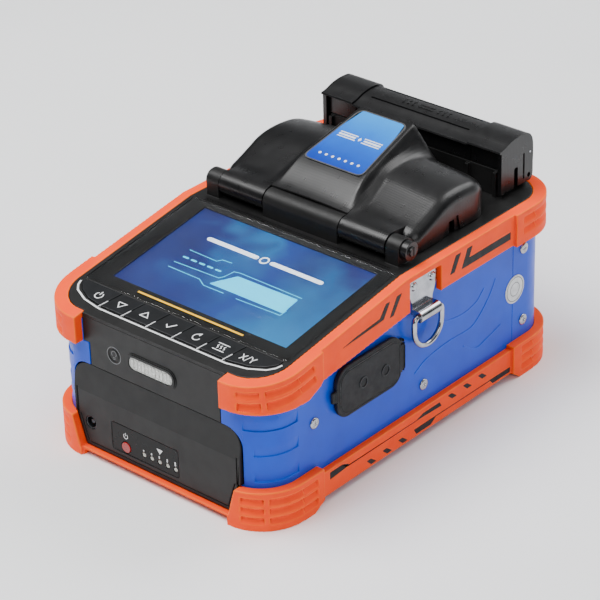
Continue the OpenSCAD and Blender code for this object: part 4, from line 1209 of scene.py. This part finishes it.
def battery_marks():
    """A triangle over growing bars for the charge, and a power sign over the button."""
    white = ink("label_print", rgb(206, 208, 210), rgb(232, 233, 234))
    marks = [[(0.2, 20.6), (4, 20.6), (2.1, 17.9)]]
    for i, x in enumerate(LED_X):
        marks.append(stroke((x, 15.7), (x, 15.8 + 0.35 * i), 0.8))
    marks += arc_band((BUTTON_X, 19.2), 1.3, 0.35, 125, 415)
    marks.append(stroke((BUTTON_X, 19.4), (BUTTON_X, 20.9), 0.35))
    low = BATTERY_LABEL - 0.02
    high = BATTERY_LABEL + 0.05
    printed("battery_marks", marks, low, high, ON_FRONT, "battery", "label_plate", white)


def front_pieces():
    lamp_frame()
    lamp_lens_piece()
    lamp_sign()
    battery_marks()


# ---- label on the wind cover ----


def label_outline(grow):
    """Outline of the label, larger all round by grow."""
    corners = [
        (-18.3 - grow, 0.9 - grow), (18.3 + grow, 0.9 - grow),
        (14.7 + grow, 42.4 + grow), (-14.7 - grow, 42.4 + grow),
    ]
    return fillet(corners, 4 + grow)


def label_pieces():
    white = ink("white_label_print", rgb(214, 222, 232), rgb(240, 244, 248))
    bm = bmesh.new()
    frame_plate(bm, label_outline(0.3), label_outline(-0.45), -0.5, 0.04, ON_LABEL)
    place_mesh("label_rim", bm, "wind_cover", "bright_metal")

    # two fibres meeting end to end, and a row of dots
    sign = [[(-1, 23), (0, 24.4), (1, 23), (0, 21.6)]]
    for side in (-1, 1):
        for y, gap, width in ((24.6, 2, 0.7), (23, 2.6, 1.2), (21.4, 2, 0.7)):
            sign.append(ribbon([(side * 13, y), (side * gap, y)], width))
    sign += [arc((-12 + 4 * i, 6.8), 0.8, 0, 345, 15) for i in range(7)]
    printed("label_sign", sign, 0, 0.05, ON_LABEL, "wind_cover", "blue_label", white)


# ---- screws, rings and reliefs on the sides ----

# x of the painted wall, and y and z of what sits on it
WALL = 67.8
SCREWS = [(-74, 44.1), (5.3, 27.3), (84, 67.9), (84, 27.8)]
SHANK_R = 1.45
SEAL = (77.2, 47.8)
PORT_SCREWS = [(-43, 52.5), (-27, 51.5)]
PORT_TOP = 71.5
# middle of the strap ring's bar
STRAP = (72.2, 3.5, 69.5)


def cross_recess(u, v):
    """Depth of the cross at a point of the head, its radius taken as 1."""
    narrow = min(abs(u), abs(v))
    wide = max(abs(u), abs(v))
    slot = min(max((0.17 - narrow) / 0.09, 0), 1)
    end = min(max((0.62 - wide) / 0.1, 0), 1)
    return 0.6 * slot * end


def screw_head(bm, turn, middle, radius, height):
    """A domed head with a cross recess, drawn as a square grid drawn out to a disc."""
    steps = 26
    grid = []
    for i in range(steps + 1):
        line = []
        for j in range(steps + 1):
            u = 2 * i / steps - 1
            v = 2 * j / steps - 1
            x = radius * u * math.sqrt(1 - v * v / 2)
            y = radius * v * math.sqrt(1 - u * u / 2)
            far = math.hypot(x, y) / radius
            dome = height * (0.35 + 0.65 * math.sqrt(max(1 - far ** 2.4, 0)))
            z = WALL + dome - cross_recess(x / radius, y / radius)
            line.append(bm.verts.new(turn @ Vector((middle[0] + x, middle[1] + y, z))))
        grid.append(line)
    for near, away in zip(grid, grid[1:]):
        bridge(bm, near, away, closed=False)
    rim = grid[0] + [line[-1] for line in grid[1:]]
    rim += grid[-1][-2::-1] + [line[0] for line in grid[-2:0:-1]]
    back = turn.inverted()
    foot = []
    for vert in rim:
        place = back @ vert.co
        foot.append(bm.verts.new(turn @ Vector((place.x, place.y, WALL + 0.02))))
    bridge(bm, rim, foot)
    bm.faces.new(foot)
    slab(bm, arc(middle, SHANK_R, 0, 345, 23), WALL - 6, WALL + 0.1, turn)


def ring_path():
    """Middle line of the strap ring: bar, rounded corners, sides and half circle."""
    half = 10.2
    drop = 7
    corner = 2.4
    path = arc((half - corner, -corner), corner, 90, 0, 6)
    path += arc((0, -drop), half, 0, -180, 28)
    path += arc((-half + corner, -corner), corner, 180, 90, 6)
    return path


def strap_ring(name, side):
    """Round wire swept along a closed path."""
    wire = 1.38
    around = 16
    path = ring_path()
    bm = bmesh.new()
    loops = []
    for i, (y, z) in enumerate(path):
        before = Vector(path[i - 1])
        after = Vector(path[(i + 1) % len(path)])
        along = (after - before).normalized()
        outward = Vector((along.y, -along.x))
        loop = []
        for k in range(around):
            a = math.radians(360 * k / around)
            reach = wire * math.cos(a)
            loop.append(bm.verts.new((
                side * (STRAP[0] + wire * math.sin(a)),
                STRAP[1] + y + outward.x * reach,
                STRAP[2] + z + outward.y * reach,
            )))
        loops.append(loop)
    for near, away in zip(loops, loops[1:] + loops[:1]):
        bridge(bm, near, away)
    piece = place_mesh(f"{name}_wire", bm, name, "bright_metal", 60)
    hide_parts(name)


RELIEF_LINES = [
    [(-1.2, 35.8), (7.6, 39.9), (25.4, 41.8), (42.3, 41.6), (48.8, 45.1), (57.9, 54), (61.7, 60.6)],
    [(36.5, 34), (46.4, 28.3), (55.7, 29.9), (66.3, 32.6)],
    [(19, 54.8), (33.1, 52.1), (46.1, 53.7), (52.5, 59.1)],
]


def side_relief():
    """Outlines of the fine raised lines pressed into the painted sides."""
    outlines = []
    for line in RELIEF_LINES:
        height = curve_through(line)
        start = line[0][0]
        span = line[-1][0] - start
        places = [start + span * i / 30 for i in range(31)]
        outlines.append(ribbon([(y, height(y)) for y in places], 0.7))
    return outlines


def side_screw_heads():
    bm = bmesh.new()
    for turn in SIDES.values():
        for middle in SCREWS:
            screw_head(bm, turn, middle, 2.9, 1.25)
    heads = place_mesh("side_screw_heads", bm, "case", "bright_metal", 50)
    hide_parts("side_screws")


def seal_rings():
    dark = ink("seal_print", rgb(96, 98, 100), rgb(120, 122, 124))
    rings = ring(SEAL, 6.4, 0.5) + ring(SEAL, 3.6, 0.4)
    low = WALL + 0.28
    high = WALL + 0.34
    printed("seal_rings", rings, low, high, ON_RIGHT, "case", "silver_foil", dark)


def port_cover_rings():
    rings = [outline for middle in PORT_SCREWS for outline in ring(middle, 2.6, 0.6)]
    low = PORT_TOP - 0.1
    high = PORT_TOP + 0.35
    printed("port_cover_rings", rings, low, high, ON_RIGHT, "port_cover", "black_rubber")


def deck_ridges():
    """Two ridges across the deck in front of the wind cover."""
    bm = bmesh.new()
    for y in (-8.6, -6.9):
        outline = [(-58, y - 0.3), (58, y - 0.3), (58, y + 0.3), (-58, y + 0.3)]
        slab(bm, fillet(outline, 0.25), 92, 92.4)
    satin = MATERIALS["gloss_black"]
    place_mesh("deck_ridges", bm, "case", "black_plastic", material=satin)


def side_pieces():
    side_screw_heads()
    low = WALL - 0.1
    high = WALL + 0.22
    for side, turn in SIDES.items():
        printed(f"side_relief_{side}", side_relief(), low, high, turn, "case", "blue_paint")
    strap_ring("d_ring_right", 1)
    strap_ring("d_ring_left", -1)
    seal_rings()
    port_cover_rings()


# ---- stage, light and camera ----

CAMERA_AZIMUTH = math.radians(41.672)
CAMERA_ELEVATION = math.radians(29.305)
CAMERA_ROLL = math.radians(-1.593)
CAMERA_DISTANCE = 1.2764
CAMERA_TARGET = Vector((0.00147, -0.00669, 0.05539))
LENS = 158.53
LIT_POINT = Vector((0, 0, 0.05))


def add_camera():
    back = Vector((
        math.sin(CAMERA_AZIMUTH) * math.cos(CAMERA_ELEVATION),
        -math.cos(CAMERA_AZIMUTH) * math.cos(CAMERA_ELEVATION),
        math.sin(CAMERA_ELEVATION),
    ))
    right = Vector((math.cos(CAMERA_AZIMUTH), math.sin(CAMERA_AZIMUTH), 0))
    up = back.cross(right)
    rolled_right = right * math.cos(CAMERA_ROLL) + up * math.sin(CAMERA_ROLL)
    rolled_up = up * math.cos(CAMERA_ROLL) - right * math.sin(CAMERA_ROLL)
    data = bpy.data.cameras.new("camera")
    data.lens = LENS
    data.sensor_width = 36
    camera = new_object("camera", data)
    turn = Matrix((rolled_right, rolled_up, back)).transposed()
    camera.matrix_world = Matrix.Translation(CAMERA_TARGET + back * CAMERA_DISTANCE) @ turn.to_4x4()
    bpy.context.scene.camera = camera


def add_light(name, place, size, power):
    """A square soft light that faces the object."""
    light = bpy.data.lights.new(name, "AREA")
    light.energy = power
    light.size = size
    obj = new_object(name, light)
    obj.location = place
    obj.rotation_euler = (LIT_POINT - obj.location).to_track_quat("-Z", "Y").to_euler()


def add_floor():
    """A wide pale floor whose far edge curves up out of sight."""
    bm = bmesh.new()
    half = 1600
    rows = [(-half, 0), (-600, 0), (600, 0), (1100, 0)]
    rows += [(1400, 60), (1600, 240), (1680, 500), (1700, 1400)]
    lines = []
    for y, z in rows:
        lines.append([bm.verts.new((x, y, z)) for x in (-half, -half / 2, 0, half / 2, half)])
    for near, away in zip(lines, lines[1:]):
        bridge(bm, near, away, closed=False)
    floor = mesh_object("floor", bm)
    floor.data.shade_smooth()
    dress(floor, floor_paint())


def add_world():
    world = bpy.data.worlds.new("studio")
    bpy.context.scene.world = world
    world.use_nodes = True
    nodes = world.node_tree.nodes
    links = world.node_tree.links
    background = nodes["Background"]
    background.inputs["Strength"].default_value = 0.8
    # white overhead, grey toward the horizon
    direction = nodes.new("ShaderNodeTexCoord")
    parts = nodes.new("ShaderNodeSeparateXYZ")
    links.new(direction.outputs["Generated"], parts.inputs[0])
    ramp = nodes.new("ShaderNodeValToRGB")
    ramp.color_ramp.elements[0].position = 0.5
    ramp.color_ramp.elements[0].color = (0.13, 0.135, 0.14, 1)
    ramp.color_ramp.elements[1].position = 0.95
    ramp.color_ramp.elements[1].color = (1, 1, 1, 1)
    links.new(parts.outputs["Z"], ramp.inputs["Fac"])
    links.new(ramp.outputs["Color"], background.inputs["Color"])


# ---- the scene ----

MATERIALS = {}
for slot_name, (make, members) in LOOKS.items():
    MATERIALS[slot_name] = make()
    for member in members:
        dress(NODES[member], MATERIALS[slot_name])

for node_name, node in NODES.items():
    soften(node, EDGE_WIDTH.get(node_name, USUAL_EDGE))

wind_cover()
screen_pieces()
key_pieces()
front_pieces()
label_pieces()
heater_pieces()
side_pieces()
deck_ridges()

add_floor()
add_world()
add_light("key", (-0.45, -0.5, 1.4), size=1.1, power=38)
add_light("side", (1.3, -0.5, 0.7), size=0.8, power=6)
add_light("back", (0.3, 1.1, 1.2), size=0.9, power=14)
add_camera()
